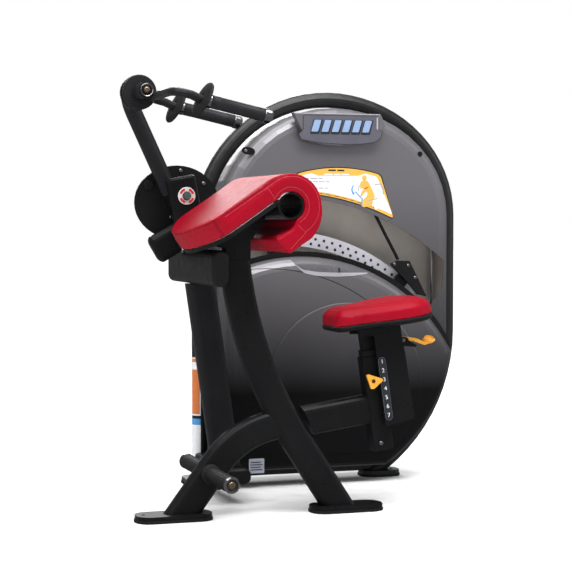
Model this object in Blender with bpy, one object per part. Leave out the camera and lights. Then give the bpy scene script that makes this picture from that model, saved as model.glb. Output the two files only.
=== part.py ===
"""Seated triceps press machine: near frame with legs and mast, ring tower with shrouds,
swinging press arm with two handles, elbow pad with a wrap roll, and a height-adjusted seat.

Metres, +Z up. In the design frame X runs from the press arm towards the seat, Y runs from
the user towards the tower, and Y = 0 is the user's middle plane. The empty "machine" moves
the design frame so that the middle of the footprint lies at the world origin.
"""
import math

import bmesh
import bpy
from mathutils import Matrix, Vector

# Where the middle of the bounding box lies in the design frame.
CENTRE_X = 0.1730
CENTRE_Y = 0.2259

GAP = 0.0003                      # between pieces that touch
TUBE_WIDE, TUBE_DEEP, TUBE_CORNER = 0.090, 0.051, 0.021   # oval frame tube
ROUND_TUBE = 0.0254               # radius of the 2 inch round tube
PLATE_BOTTOM, PLATE_TOP = 0.0083, 0.0200                 # steel foot plates, above their rubber
WELD_Z = 0.0140                   # where a tube ends inside its plate
RUBBER_TOP = 0.0080

# Mast, beams
MAST_Y = 0.251
MAST_FOOT, MAST_KNEE, MAST_HEAD = (-0.111, 0.1105), (-0.192, 0.6690), (-0.2505, 0.980)
BEAM_X, BEAM_WIDE, BEAM_LOW, BEAM_HIGH = -0.214, 0.051, 0.6695, 0.7745
BEAM_NEAR, BEAM_FAR = -0.0480, 0.4500
BASE_BEAM_X, BASE_BEAM_Z, BASE_BEAM_NEAR = -0.100, 0.084, 0.200

# Elbow pad: a slab that rises at PAD_TILT and wraps round a tube at its top
PAD_TILT = math.radians(34.2)
ROLL = Vector((-0.0540, 0.8995))
ROLL_RADIUS, ROLL_FOOT_RADIUS, ROLL_HOLE = 0.092, 0.109, 0.0397
ROLL_TUBE = 0.038
PAD_HALF = 0.215
SLAB_THICK = 0.056
SLAB_CORNER, SLAB_NOSE = -0.210, -0.277   # where the slab ends at its sides and in its middle
WRAP_LENGTH = 0.079
BOARD_THICK = 0.012

# Press arm
PIVOT = Vector((-0.2395, 0.0, 0.9325))
ARM_Y = 0.3050
HUB = Vector((-0.4020, 0.0, 1.2320))
HUB_DISC_RADIUS = 0.051
HANDLE_Y = 0.150
HANDLE_DROP = math.radians(12.6)
HANDLE_TUBE = 0.0125
GRIP_RADIUS = 0.019
GUARD_X, GUARD_Z = -0.2910, 1.1930
STOP_TILT = math.radians(30.0)

# Seat: leans back by SEAT_TILT; SEAT_ORIGIN is u = 0, w = 0 of its own frame
SEAT_TILT = math.radians(8.0)
SEAT_ORIGIN = Vector((0.2250, 0.0, 0.3590))
POST_LEFT, POST_RIGHT, POST_HALF, POST_WALL = 0.018, 0.080, 0.025, 0.004
POST_LOW, POST_HIGH = -0.190, 0.092
SEAT_STEP, SEAT_HOLES = 0.0254, 7
LATCH_W = -0.030
BOARD_LOW, BOARD_HIGH, CUSHION_HIGH = 0.1830, 0.1980, 0.2490
SEAT_FRONT, SEAT_WIDEST, SEAT_REAR = -0.066, 0.146, 0.249
SEAT_FRONT_HALF, SEAT_WIDE_HALF = 0.083, 0.143

# Tower: outline of the ring in X and Z
RING_Y = 0.610
RING_LEFT, RING_RIGHT, RING_TOP = -0.121, 0.800, 1.283
RING_TOP_X, SHOULDER_LEFT, SHOULDER_RIGHT = 0.343, 0.815, 0.875
RING_SIDE_LOW = 0.485
FOOT_ARC, FOOT_ARC_RADIUS = (0.230, 0.485), 0.570
SHROUD_INSET, SHROUD_LOW = 0.056, 0.052
SHROUD_FRONT, SHROUD_SEAM, SHROUD_BACK = 0.500, 0.5125, 0.5885
REAR_FRONT, REAR_BACK = 0.5892, 0.700
SHROUD_WALL, SHROUD_EDGE = 0.004, 0.045
BULGE, BULGE_RADIUS, BULGE_FRONT = (0.210, 0.142), 0.600, 0.455
RIM_OUTER = 0.617
WINDOW_ARC, WINDOW_RADIUS = (0.160, 0.085), 0.850
WINDOW_CURL = [(0.712, 0.715), (0.719, 0.667), (0.708, 0.624), (0.672, 0.579)]
SWING, SELECTOR_INNER, SELECTOR_OUTER = (0.165, 0.170), 0.608, 0.655
PULLEY_X, PULLEY_Z = 0.3500, 1.0620

# Foot pegs
PEG_X, PEG_Z = -0.236, 0.132
PEG_SLEEVE_START, PEG_SLEEVE_END = 0.0262, 0.2360

# Steel foot plates: X and Y limits of each
LEG_PLATES = [(-0.452, -0.228, -0.050, 0.050), (0.076, 0.297, -0.050, 0.050)]
TOWER_PLATES = [(-0.146, -0.045, 0.470, 0.690), (0.462, 0.598, 0.560, 0.660)]
PLATE_BOLT_INSET = 0.024
PLATE_BOLT_RADIUS = 0.0065


# ---------------------------------------------------------------- scene helpers

def clear_scene():
    for obj in list(bpy.data.objects):
        bpy.data.objects.remove(obj, do_unlink=True)


def make_material(name, colour, metallic, roughness):
    material = bpy.data.materials.new(name)
    material.use_nodes = True
    shader = material.node_tree.nodes["Principled BSDF"]
    shader.inputs["Base Color"].default_value = (*colour, 1.0)
    shader.inputs["Metallic"].default_value = metallic
    shader.inputs["Roughness"].default_value = roughness
    return material


def make_empty(name, design_position, parent=None):
    empty = bpy.data.objects.new(name, None)
    bpy.context.scene.collection.objects.link(empty)
    empty["design"] = list(design_position)
    if parent is not None:
        empty.parent = parent
        empty.location = Vector(design_position) - Vector(parent["design"])
    return empty


def make_node(name, mesh_builder, material, parent, smooth=math.radians(40)):
    """Turns a bmesh in design coordinates into an object under its parent empty."""
    bmesh.ops.remove_doubles(mesh_builder, verts=mesh_builder.verts, dist=0.00001)
    bmesh.ops.recalc_face_normals(mesh_builder, faces=mesh_builder.faces)
    shift = -Vector(parent["design"])
    bmesh.ops.translate(mesh_builder, verts=mesh_builder.verts, vec=shift)
    mesh = bpy.data.meshes.new(name)
    mesh_builder.to_mesh(mesh)
    mesh_builder.free()
    mesh.shade_smooth()
    mesh.set_sharp_from_angle(angle=smooth)
    mesh.materials.append(material)
    obj = bpy.data.objects.new(name, mesh)
    bpy.context.scene.collection.objects.link(obj)
    obj.parent = parent
    return obj


def make_cutter(name, mesh_builder, parent):
    bmesh.ops.recalc_face_normals(mesh_builder, faces=mesh_builder.faces)
    shift = -Vector(parent["design"])
    bmesh.ops.translate(mesh_builder, verts=mesh_builder.verts, vec=shift)
    mesh = bpy.data.meshes.new(name)
    mesh_builder.to_mesh(mesh)
    mesh_builder.free()
    cutter = bpy.data.objects.new(name, mesh)
    bpy.context.scene.collection.objects.link(cutter)
    cutter.parent = parent
    cutter.hide_render = True
    cutter.display_type = "WIRE"
    return cutter


def boolean(obj, cutter, operation):
    modifier = obj.modifiers.new(cutter.name, "BOOLEAN")
    modifier.operation = operation
    modifier.solver = "EXACT"
    modifier.object = cutter


def bevel(obj, width, segments=2, angle=math.radians(40)):
    modifier = obj.modifiers.new("edges", "BEVEL")
    modifier.width = width
    modifier.segments = segments
    modifier.limit_method = "ANGLE"
    modifier.angle_limit = angle


# ---------------------------------------------------------------- shape helpers

def rounded_section(wide, deep, corner, steps=4):
    """Closed loop of (a, b) offsets: a across the wide side, b across the deep side."""
    points = []
    for quarter, (sign_a, sign_b) in enumerate([(1, 1), (-1, 1), (-1, -1), (1, -1)]):
        centre_a = sign_a * (wide / 2 - corner)
        centre_b = sign_b * (deep / 2 - corner)
        for step in range(steps + 1):
            angle = math.pi / 2 * (quarter + step / steps)
            points.append((centre_a + corner * math.cos(angle), centre_b + corner * math.sin(angle)))
    return points


def round_section(radius, steps=20):
    return [
        (radius * math.cos(2 * math.pi * step / steps), radius * math.sin(2 * math.pi * step / steps))
        for step in range(steps)
    ]


def arc(centre, radius, start, end, steps):
    """Points of an arc in X and Z, from angle start to angle end in radians."""
    return [
        (
            centre[0] + radius * math.cos(start + (end - start) * step / steps),
            centre[1] + radius * math.sin(start + (end - start) * step / steps),
        )
        for step in range(steps + 1)
    ]


def in_plane(points, y):
    return [Vector((x, y, z)) for x, z in points]


def tangents_of(path):
    tangents = []
    for index in range(len(path)):
        before = path[max(index - 1, 0)]
        after = path[min(index + 1, len(path) - 1)]
        tangents.append((after - before).normalized())
    return tangents


def join_rings(builder, rings, capped=True):
    """Bridges loops of equal count one after another, and closes both ends."""
    count = len(rings[0])
    for first, second in zip(rings, rings[1:]):
        for index in range(count):
            following = (index + 1) % count
            builder.faces.new((first[index], first[following], second[following], second[index]))
    if capped:
        builder.faces.new(rings[0][::-1])
        builder.faces.new(rings[-1])


def add_sweep(builder, path, section, side=(0, 1, 0), ends=(None, None)):
    """Sweeps a closed section along a path. ends holds (point, normal) planes that cut the tube's ends."""
    tangents = tangents_of(path)
    side = Vector(side)
    rings = []
    for index, (point, tangent) in enumerate(zip(path, tangents)):
        side = (side - tangent * side.dot(tangent)).normalized()
        across = side.cross(tangent)
        ring = [point + across * a + side * b for a, b in section]
        plane = ends[0] if index == 0 else ends[1] if index == len(path) - 1 else None
        if plane is not None:
            origin, normal = Vector(plane[0]), Vector(plane[1])
            ring = [p + tangent * ((origin - p).dot(normal) / tangent.dot(normal)) for p in ring]
        rings.append([builder.verts.new(p) for p in ring])
    join_rings(builder, rings)


def add_prism(builder, outline, y_low, y_high):
    """Extrudes an outline in X and Z along Y."""
    low = [builder.verts.new((x, y_low, z)) for x, z in outline]
    high = [builder.verts.new((x, y_high, z)) for x, z in outline]
    join_rings(builder, [low, high])


def add_flat(builder, outline, z_low, z_high):
    """Extrudes an outline in X and Y along Z."""
    low = [builder.verts.new((x, y, z_low)) for x, y in outline]
    high = [builder.verts.new((x, y, z_high)) for x, y in outline]
    join_rings(builder, [low, high])


def add_box(builder, low, high):
    outline = [(low[0], low[1]), (high[0], low[1]), (high[0], high[1]), (low[0], high[1])]
    add_flat(builder, outline, low[2], high[2])


def add_turned(builder, profile, centre, axis=(0, 1, 0), steps=20):
    """Turns a profile of (radius, height along the axis) about an axis through centre.
    A profile that starts and ends at radius 0 is solid; any other is joined end to end."""
    axis = Vector(axis).normalized()
    first = axis.orthogonal().normalized()
    second = axis.cross(first)
    centre = Vector(centre)
    rings = []
    for radius, height in profile:
        base = centre + axis * height
        if radius < 1e-9:
            rings.append([builder.verts.new(base)])
            continue
        ring = []
        for step in range(steps):
            angle = 2 * math.pi * step / steps
            offset = (first * math.cos(angle) + second * math.sin(angle)) * radius
            ring.append(builder.verts.new(base + offset))
        rings.append(ring)
    pairs = list(zip(rings, rings[1:]))
    if profile[0][0] > 1e-9:
        pairs.append((rings[-1], rings[0]))
    for lower, upper in pairs:
        for step in range(steps):
            following = (step + 1) % steps
            if len(lower) == 1:
                builder.faces.new((lower[0], upper[following], upper[step]))
            elif len(upper) == 1:
                builder.faces.new((lower[step], lower[following], upper[0]))
            else:
                builder.faces.new((lower[step], lower[following], upper[following], upper[step]))


def rod(radius, low, high, edge=0.001):
    return [
        (0, low), (radius - edge, low), (radius, low + edge),
        (radius, high - edge), (radius - edge, high), (0, high),
    ]


def tube(outer, inner, low, high):
    return [(inner, low), (outer, low), (outer, high), (inner, high)]


def polygon_inset(points, distance):
    """Moves each corner of a convex outline inwards by the same distance from both its sides."""
    area = sum(a[0] * b[1] - b[0] * a[1] for a, b in zip(points, points[1:] + points[:1]))
    turn = 1 if area > 0 else -1
    moved = []
    for index, point in enumerate(points):
        before = Vector(points[index - 1])
        after = Vector(points[(index + 1) % len(points)])
        here = Vector(point)
        first = (here - before).normalized()
        second = (after - here).normalized()
        normal_a = Vector((-first.y, first.x)) * turn
        normal_b = Vector((-second.y, second.x)) * turn
        step = (normal_a + normal_b) * (distance / (1 + normal_a.dot(normal_b)))
        moved.append(tuple(here + step))
    return moved


def add_shell(builder, outline, front, back, edge, wall, steps=5):
    """A pan of even wall: a flat front at Y = front, rounded edges, and an open back at Y = back."""
    facing = 1 if back > front else -1

    def loops(inset):
        found = [(polygon_inset(outline, inset), back)]
        for step in range(steps + 1):
            angle = math.pi / 2 * step / steps
            depth = (edge - inset) * (1 - math.sin(angle)) + inset
            loop = polygon_inset(outline, inset + (edge - inset) * (1 - math.cos(angle)))
            found.append((loop, front + facing * depth))
        return found

    outer = [[builder.verts.new((x, y, z)) for x, z in loop] for loop, y in loops(0.0)]
    inner = [[builder.verts.new((x, y, z)) for x, z in loop] for loop, y in loops(wall)]
    chain = inner[::-1] + outer
    join_rings(builder, chain)


def tower_outline(inset, low, steps=22):
    """Outline of the tower, inset from the ring's outer edge, from its lower left corner clockwise.
    Two quarter ellipses of unequal height meet at the top; an arc runs down to the floor."""
    points = [(RING_LEFT + inset, low)]
    for step in range(steps + 1):
        angle = math.pi * (1 - step / steps)
        left = math.cos(angle) < 0
        half = (RING_TOP_X - RING_LEFT if left else RING_RIGHT - RING_TOP_X) - inset
        shoulder = SHOULDER_LEFT if left else SHOULDER_RIGHT
        rise = RING_TOP - shoulder - inset
        points.append((RING_TOP_X + math.cos(angle) * half, shoulder + math.sin(angle) * rise))
    radius = FOOT_ARC_RADIUS - inset
    end = math.asin((low - FOOT_ARC[1]) / radius)
    points += arc(FOOT_ARC, radius, 0.0, end, 12)
    return points


def circle_crossings(centre, radius, outline):
    """Where a circle crosses an outline, in the outline's order."""
    found = []
    centre = Vector(centre)
    for start, end in zip(outline, outline[1:] + outline[:1]):
        a, b = Vector(start), Vector(end)
        if ((a - centre).length - radius) * ((b - centre).length - radius) < 0:
            low, high = 0.0, 1.0
            outside = (a - centre).length > radius
            for _ in range(40):
                middle = (low + high) / 2
                if ((a.lerp(b, middle) - centre).length > radius) == outside:
                    low = middle
                else:
                    high = middle
            found.append(a.lerp(b, low))
    return found


def below_circle(centre, radius, outline, steps=22):
    """The part of an outline that lies inside a circle, closed by the circle's arc over its top."""
    inside = [p for p in outline if (Vector(p) - Vector(centre)).length < radius]
    left, right = circle_crossings(centre, radius, outline)[:2]
    start = math.atan2(left.y - centre[1], left.x - centre[0])
    end = math.atan2(right.y - centre[1], right.x - centre[0])
    lower_left = inside[0]
    rest = inside[1:]
    return [lower_left] + arc(centre, radius, start, end, steps) + rest


# ---------------------------------------------------------------- near frame

def front_leg_path():
    """Starts upright at the top, curves outwards and runs straight into its foot plate."""
    lean_top, lean_foot, radius = math.radians(6), math.radians(33), 1.2
    top = Vector((-0.157, 0.745))
    points = []
    for step in range(11):
        lean = lean_top + (lean_foot - lean_top) * step / 10
        x = top.x + radius * (math.cos(lean_top) - math.cos(lean))
        z = top.y - radius * (math.sin(lean) - math.sin(lean_top))
        points.append((x, z))
    x, z = points[-1]
    drop = z - WELD_Z
    points.append((x + drop * math.tan(lean_foot), z - drop))
    return points


def brace_leg_path():
    """Runs straight up from its foot plate, then bends over and ends inside the front leg."""
    slope, slope_end, radius = math.radians(53.5), math.radians(10), 0.270
    foot = Vector((-0.3175, WELD_Z))
    rise = 0.1570 - foot.y
    points = [tuple(foot)]
    bend = Vector((foot.x + rise / math.tan(slope), foot.y + rise))
    for step in range(11):
        angle = slope + (slope_end - slope) * step / 10
        x = bend.x + radius * (math.sin(slope) - math.sin(angle))
        z = bend.y + radius * (math.cos(angle) - math.cos(slope))
        points.append((x, z))
    x, z = points[-1]
    points.append((x + 0.035 * math.cos(slope_end), z + 0.035 * math.sin(slope_end)))
    return points


def build_front_leg(paint, machine):
    builder = bmesh.new()
    floor = ((0, 0, WELD_Z), (0, 0, 1))
    section = rounded_section(TUBE_WIDE, TUBE_DEEP, TUBE_CORNER)
    top = ((0, 0, 0.745), (0, 0, 1))
    add_sweep(builder, in_plane(front_leg_path(), 0.0), section, ends=(top, floor))
    leg = make_node("front_leg", builder, paint, machine)
    notch = bmesh.new()
    right = BEAM_X + BEAM_WIDE / 2 + GAP
    add_box(notch, (right - 0.1, BEAM_NEAR, BEAM_LOW - GAP), (right, BEAM_FAR, BEAM_HIGH + 0.1))
    boolean(leg, make_cutter("front_leg_notch", notch, machine), "DIFFERENCE")
    weld_plates(leg, "front_leg", LEG_PLATES[1:], machine)


def build_brace_leg(paint, machine):
    builder = bmesh.new()
    floor = ((0, 0, WELD_Z), (0, 0, 1))
    section = rounded_section(TUBE_WIDE, TUBE_DEEP - 0.0025, TUBE_CORNER)
    add_sweep(builder, in_plane(brace_leg_path(), 0.0), section, ends=(floor, None))
    leg = make_node("brace_leg", builder, paint, machine)
    room = bmesh.new()
    grown = rounded_section(TUBE_WIDE + 2 * GAP, TUBE_DEEP + 2 * GAP, TUBE_CORNER)
    add_sweep(room, in_plane(front_leg_path(), 0.0), grown)
    boolean(leg, make_cutter("front_leg_room", room, machine), "DIFFERENCE")
    bore = bmesh.new()
    add_turned(bore, rod(0.0128, -0.1, 0.1, 0.0001), (PEG_X, 0, PEG_Z), steps=16)
    boolean(leg, make_cutter("peg_bore", bore, machine), "DIFFERENCE")
    weld_plates(leg, "brace_leg", LEG_PLATES[:1], machine)


def plate_outline(x_low, x_high, y_low, y_high, steps=4):
    """A plate with round ends along its longer side."""
    wide, deep = x_high - x_low, y_high - y_low
    corner = 0.42 * min(wide, deep)
    centre_x, centre_y = (x_low + x_high) / 2, (y_low + y_high) / 2
    return [(centre_x + a, centre_y + b) for a, b in rounded_section(wide, deep, corner, steps)]


def weld_plates(obj, name, plates, parent):
    """Unites steel foot plates with the tube that stands on them, and drills their bolt holes."""
    for number, (x_low, x_high, y_low, y_high) in enumerate(plates):
        builder = bmesh.new()
        add_flat(builder, plate_outline(x_low, x_high, y_low, y_high), PLATE_BOTTOM, PLATE_TOP)
        boolean(obj, make_cutter(f"{name}_plate_{number}", builder, parent), "UNION")
        middle_x, middle_y = (x_low + x_high) / 2, (y_low + y_high) / 2
        if x_high - x_low > y_high - y_low:
            spots = [(x_low + PLATE_BOLT_INSET, middle_y), (x_high - PLATE_BOLT_INSET, middle_y)]
        else:
            spots = [(middle_x, y_low + PLATE_BOLT_INSET), (middle_x, y_high - PLATE_BOLT_INSET)]
        holes = bmesh.new()
        for x, y in spots:
            add_turned(holes, rod(PLATE_BOLT_RADIUS, -0.05, 0.05, 0.0001), (x, y, 0.01), (0, 0, 1), 10)
        boolean(obj, make_cutter(f"{name}_holes_{number}", holes, parent), "DIFFERENCE")


def build_rubber_feet(rubber, machine):
    names = ["brace_foot", "front_foot", "tower_foot_left", "tower_foot_right"]
    for name, (x_low, x_high, y_low, y_high) in zip(names, LEG_PLATES + TOWER_PLATES):
        grow = 0.002
        builder = bmesh.new()
        outline = plate_outline(x_low - grow, x_high + grow, y_low - grow, y_high + grow)
        add_flat(builder, outline, 0.0, RUBBER_TOP)
        make_node(name, builder, rubber, machine)


def build_masts(paint, machine):
    section = rounded_section(TUBE_WIDE, TUBE_DEEP, TUBE_CORNER)
    builder = bmesh.new()
    foot_plane = ((0, 0, MAST_FOOT[1]), (0, 0, 1))
    knee_plane = ((0, 0, MAST_KNEE[1]), (0, 0, 1))
    add_sweep(builder, in_plane([MAST_FOOT, MAST_KNEE], MAST_Y), section, ends=(foot_plane, knee_plane))
    make_node("lower_mast", builder, paint, machine)

    builder = bmesh.new()
    slope = (MAST_HEAD[0] - MAST_KNEE[0]) / (MAST_HEAD[1] - MAST_KNEE[1])
    base_z = BEAM_HIGH + GAP
    base = (MAST_KNEE[0] + slope * (base_z - MAST_KNEE[1]), base_z)
    add_sweep(builder, in_plane([base, MAST_HEAD], MAST_Y), section, ends=(((0, 0, base_z), (0, 0, 1)), None))
    mast = make_node("upper_mast", builder, paint, machine)
    bore = bmesh.new()
    add_turned(bore, rod(0.0125, -0.1, 0.1, 0.0001), (PIVOT.x, MAST_Y, PIVOT.z), steps=16)
    boolean(mast, make_cutter("arm_stop", arm_stop(), machine), "UNION")
    beam_room = bmesh.new()
    half = BEAM_WIDE / 2 + GAP
    add_box(beam_room, (BEAM_X - half, 0.1, BEAM_LOW), (BEAM_X + half, 0.4, BEAM_HIGH + GAP))
    boolean(mast, make_cutter("beam_room", beam_room, machine), "DIFFERENCE")
    boolean(mast, make_cutter("pivot_bore", bore, machine), "DIFFERENCE")


def build_cross_beam(paint, machine):
    builder = bmesh.new()
    middle_z = (BEAM_LOW + BEAM_HIGH) / 2
    section = rounded_section(BEAM_WIDE, BEAM_HIGH - BEAM_LOW, 0.022)
    path = [Vector((BEAM_X, BEAM_NEAR, middle_z)), Vector((BEAM_X, BEAM_FAR, middle_z))]
    add_sweep(builder, path, section, side=(0, 0, 1))
    beam = make_node("cross_beam", builder, paint, machine)
    boolean(beam, make_cutter("tower_link", tower_link(middle_z), machine), "UNION")


def add_domed_cap(builder, centre, outwards, side, wide, deep, corner, height=0.013):
    """A plug with a rounded rim for the end of an oval tube."""
    outwards = Vector(outwards).normalized()
    side = Vector(side).normalized()
    across = side.cross(outwards)
    layers = [(0.0, 0.0), (0.0, 0.35), (0.10, 0.72), (0.28, 1.0)]
    rings = []
    for shrink, lift in layers:
        cut = shrink * deep / 2
        corner_here = max(corner - cut, 0.004)
        ring = []
        for a, b in rounded_section(wide - 2 * cut, deep - 2 * cut, corner_here):
            point = Vector(centre) + across * a + side * b + outwards * (lift * height)
            ring.append(builder.verts.new(point))
        rings.append(ring)
    join_rings(builder, rings)


def build_tube_caps(plastic, machine):
    """The moulded plugs of the mast, of the cross beam's near end and of the base beam."""
    builder = bmesh.new()
    middle_z = (BEAM_LOW + BEAM_HIGH) / 2
    deep = BEAM_HIGH - BEAM_LOW
    near = (BEAM_X, BEAM_NEAR - GAP, middle_z)
    add_domed_cap(builder, near, (0, -1, 0), (1, 0, 0), deep, BEAM_WIDE, 0.022, 0.014)
    make_node("cross_beam_cap", builder, plastic, machine)

    builder = bmesh.new()
    near = (BASE_BEAM_X, BASE_BEAM_NEAR - GAP, BASE_BEAM_Z)
    add_domed_cap(builder, near, (0, -1, 0), (0, 0, 1), 0.105, 0.051, 0.022)
    make_node("base_beam_cap", builder, plastic, machine)

    builder = bmesh.new()
    along = Vector((MAST_HEAD[0] - MAST_KNEE[0], 0, MAST_HEAD[1] - MAST_KNEE[1])).normalized()
    head = Vector((MAST_HEAD[0], MAST_Y, MAST_HEAD[1])) + along * GAP
    add_domed_cap(builder, head, along, (0, 1, 0), TUBE_WIDE, TUBE_DEEP, TUBE_CORNER, 0.010)
    make_node("mast_cap", builder, plastic, machine)


def build_base_beam(paint, machine):
    """Low beam between the mast's foot and the ring, with a narrower stub beside the shroud."""
    builder = bmesh.new()
    path = [Vector((BASE_BEAM_X, BASE_BEAM_NEAR, BASE_BEAM_Z)), Vector((BASE_BEAM_X, 0.4500, BASE_BEAM_Z))]
    add_sweep(builder, path, rounded_section(0.051, 0.105, 0.022), side=(1, 0, 0))
    beam = make_node("base_beam", builder, paint, machine)
    stub = bmesh.new()
    x = RING_LEFT + ROUND_TUBE
    path = [Vector((x, 0.4300, BASE_BEAM_Z)), Vector((x, RING_Y - ROUND_TUBE - 0.0008, BASE_BEAM_Z))]
    add_sweep(stub, path, rounded_section(0.044, 0.044, 0.008, 2), side=(1, 0, 0))
    boolean(beam, make_cutter("base_beam_stub", stub, machine), "UNION")


def tower_link(middle_z):
    """Short bent tube that joins the cross beam's side to the front of the ring."""
    builder = bmesh.new()
    turn, y_start = 0.055, 0.420
    end_x = RING_LEFT + ROUND_TUBE
    path = [Vector((BEAM_X, y_start, middle_z))]
    for step in range(7):
        angle = math.pi / 2 * step / 6
        x = end_x - turn + turn * math.sin(angle)
        y = y_start + turn * (1 - math.cos(angle))
        path.append(Vector((x, y, middle_z)))
    path.append(Vector((end_x, RING_Y - ROUND_TUBE - 0.0006, middle_z)))
    add_sweep(builder, path, rounded_section(0.036, 0.070, 0.012, 3), side=(0, 0, 1))
    return builder


def arm_stop():
    """Stub of oval tube welded behind the mast; the lowered arm comes to rest over it."""
    builder = bmesh.new()
    along = Vector((math.cos(STOP_TILT), 0, math.sin(STOP_TILT)))
    end = Vector((-0.3135, MAST_Y + TUBE_DEEP / 2 + 0.0235, 0.7715))
    layers = [(end - along * 0.012, 0.016), (end - along * 0.009, 0.008), (end - along * 0.004, 0.002)]
    across = Vector((0, 1, 0)).cross(along)
    rings = []
    for centre, cut in layers + [(end, 0.0), (end + along * 0.115, 0.0)]:
        section = rounded_section(0.088 - 2 * cut, 0.050 - 2 * cut, max(TUBE_CORNER - cut, 0.004))
        rings.append([builder.verts.new(centre + across * a + Vector((0, b, 0))) for a, b in section])
    join_rings(builder, rings)
    return builder


# ---------------------------------------------------------------- foot pegs

def build_foot_pegs(paint, rubber, chrome, machine):
    builder = bmesh.new()
    add_turned(builder, rod(0.0125, -0.2350, 0.2350), (PEG_X, 0, PEG_Z), steps=16)
    make_node("foot_peg_bar", builder, paint, machine)

    for end, way in (("near", -1), ("far", 1)):
        sleeve = [
            (0.0128, PEG_SLEEVE_START), (0.0290, PEG_SLEEVE_START), (0.0290, 0.0370),
            (0.0230, 0.0410), (0.0230, PEG_SLEEVE_END), (0.0128, PEG_SLEEVE_END),
        ]
        builder = bmesh.new()
        add_turned(builder, sleeve, (PEG_X, 0, PEG_Z), (0, way, 0), 20)
        make_node("foot_peg_sleeve_" + end, builder, rubber, machine)
        start = PEG_SLEEVE_END + GAP
        cap = [
            (0, start), (0.0232, start), (0.0240, start + 0.006), (0.0205, start + 0.012),
            (0.0170, start + 0.012), (0.0150, start + 0.008), (0, start + 0.008),
        ]
        builder = bmesh.new()
        add_turned(builder, cap, (PEG_X, 0, PEG_Z), (0, way, 0), 20)
        make_node("foot_peg_cap_" + end, builder, chrome, machine)


# ---------------------------------------------------------------- elbow pad

def pad_point(along, up):
    """Point of the pad's own frame: along the slab from the roll's centre, and out of its face."""
    return (
        ROLL.x + along * math.cos(PAD_TILT) - up * math.sin(PAD_TILT),
        ROLL.y + along * math.sin(PAD_TILT) + up * math.cos(PAD_TILT),
    )


def roll_outline(nose):
    """Side view of the pad: slab, roll over the top, and the short tail under it."""
    top = math.pi / 2
    outer = [pad_point(nose, ROLL_RADIUS)]
    for step in range(17):
        angle = top - math.pi * step / 16
        grow = max(0.0, step / 16 - 0.7) / 0.3
        radius = ROLL_RADIUS + (ROLL_FOOT_RADIUS - ROLL_RADIUS) * grow
        outer.append(pad_point(radius * math.cos(angle), radius * math.sin(angle)))
    tail = [
        pad_point(-WRAP_LENGTH, -ROLL_FOOT_RADIUS),
        pad_point(-WRAP_LENGTH - 0.012, -0.050),
        pad_point(-0.030, -0.056),
    ]
    under = ROLL_RADIUS - SLAB_THICK
    meet = math.pi - math.asin(under / ROLL_HOLE)
    inner = []
    for step in range(13):
        angle = -math.radians(100) + (meet + math.radians(100)) * step / 12
        inner.append(pad_point(ROLL_HOLE * math.cos(angle), ROLL_HOLE * math.sin(angle)))
    return outer + tail + inner + [pad_point(nose, under)]


def slab_plan(half, corner_at, nose_at, top_at, steps=10):
    """Plan of the slab in its own plane: straight sides, round corners, a bowed lower end."""
    corner = 0.045
    points = [(top_at, -half)]
    bow = corner_at - nose_at
    for step in range(steps + 1):
        y = -1 + 2 * step / steps
        along = nose_at + bow * y * y
        points.append((along, y * (half - corner * 0.28)))
    points.append((top_at, half))
    points[1] = (corner_at, -half + corner * 0.28)
    points.insert(1, (corner_at + corner * 0.55, -half))
    points[-2] = (corner_at, half - corner * 0.28)
    points.insert(-1, (corner_at + corner * 0.55, half))
    return points


def slab_prism(builder, plan, low, high):
    """Extrudes a plan of the slab's plane between two heights above the roll's centre."""
    rings = []
    for up in (low, high):
        ring = []
        for along, y in plan:
            x, z = pad_point(along, up)
            ring.append(builder.verts.new((x, y, z)))
        rings.append(ring)
    join_rings(builder, rings)


def build_elbow_pad(leather, board, paint, machine):
    builder = bmesh.new()
    add_prism(builder, roll_outline(SLAB_NOSE - 0.02), -PAD_HALF, PAD_HALF)
    pad = make_node("elbow_pad", builder, leather, machine)
    trim = bmesh.new()
    slab_prism(trim, slab_plan(PAD_HALF + 0.0005, SLAB_CORNER, SLAB_NOSE, 0.2), -0.2, 0.2)
    boolean(pad, make_cutter("elbow_pad_plan", trim, machine), "INTERSECT")

    builder = bmesh.new()
    under = ROLL_RADIUS - SLAB_THICK - GAP
    plan = slab_plan(PAD_HALF - 0.003, SLAB_CORNER + 0.002, SLAB_NOSE + 0.003, -ROLL_TUBE - 0.0005)
    slab_prism(builder, plan, under - BOARD_THICK, under)
    make_node("pad_board", builder, board, machine)

    builder = bmesh.new()
    below = under - BOARD_THICK - GAP
    outline = [
        (-0.1878, 0.7455), (-0.1150, 0.7455), (-0.1150, 0.8000),
        pad_point(-0.0300, -0.0180), pad_point(-0.0310, below), pad_point(-0.1950, below),
        (-0.2140, 0.7860), (-0.1878, 0.7790),
    ]
    add_prism(builder, outline, -0.0240, 0.0240)
    support = make_node("pad_support", builder, paint, machine)
    builder = bmesh.new()
    inner, end = 0.0330, PAD_HALF - 0.004
    add_turned(builder, tube(ROLL_TUBE, inner, -end, end), (ROLL.x, 0, ROLL.y), steps=20)
    boolean(support, make_cutter("roll_tube", builder, machine), "UNION")


# ---------------------------------------------------------------- press arm

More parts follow.
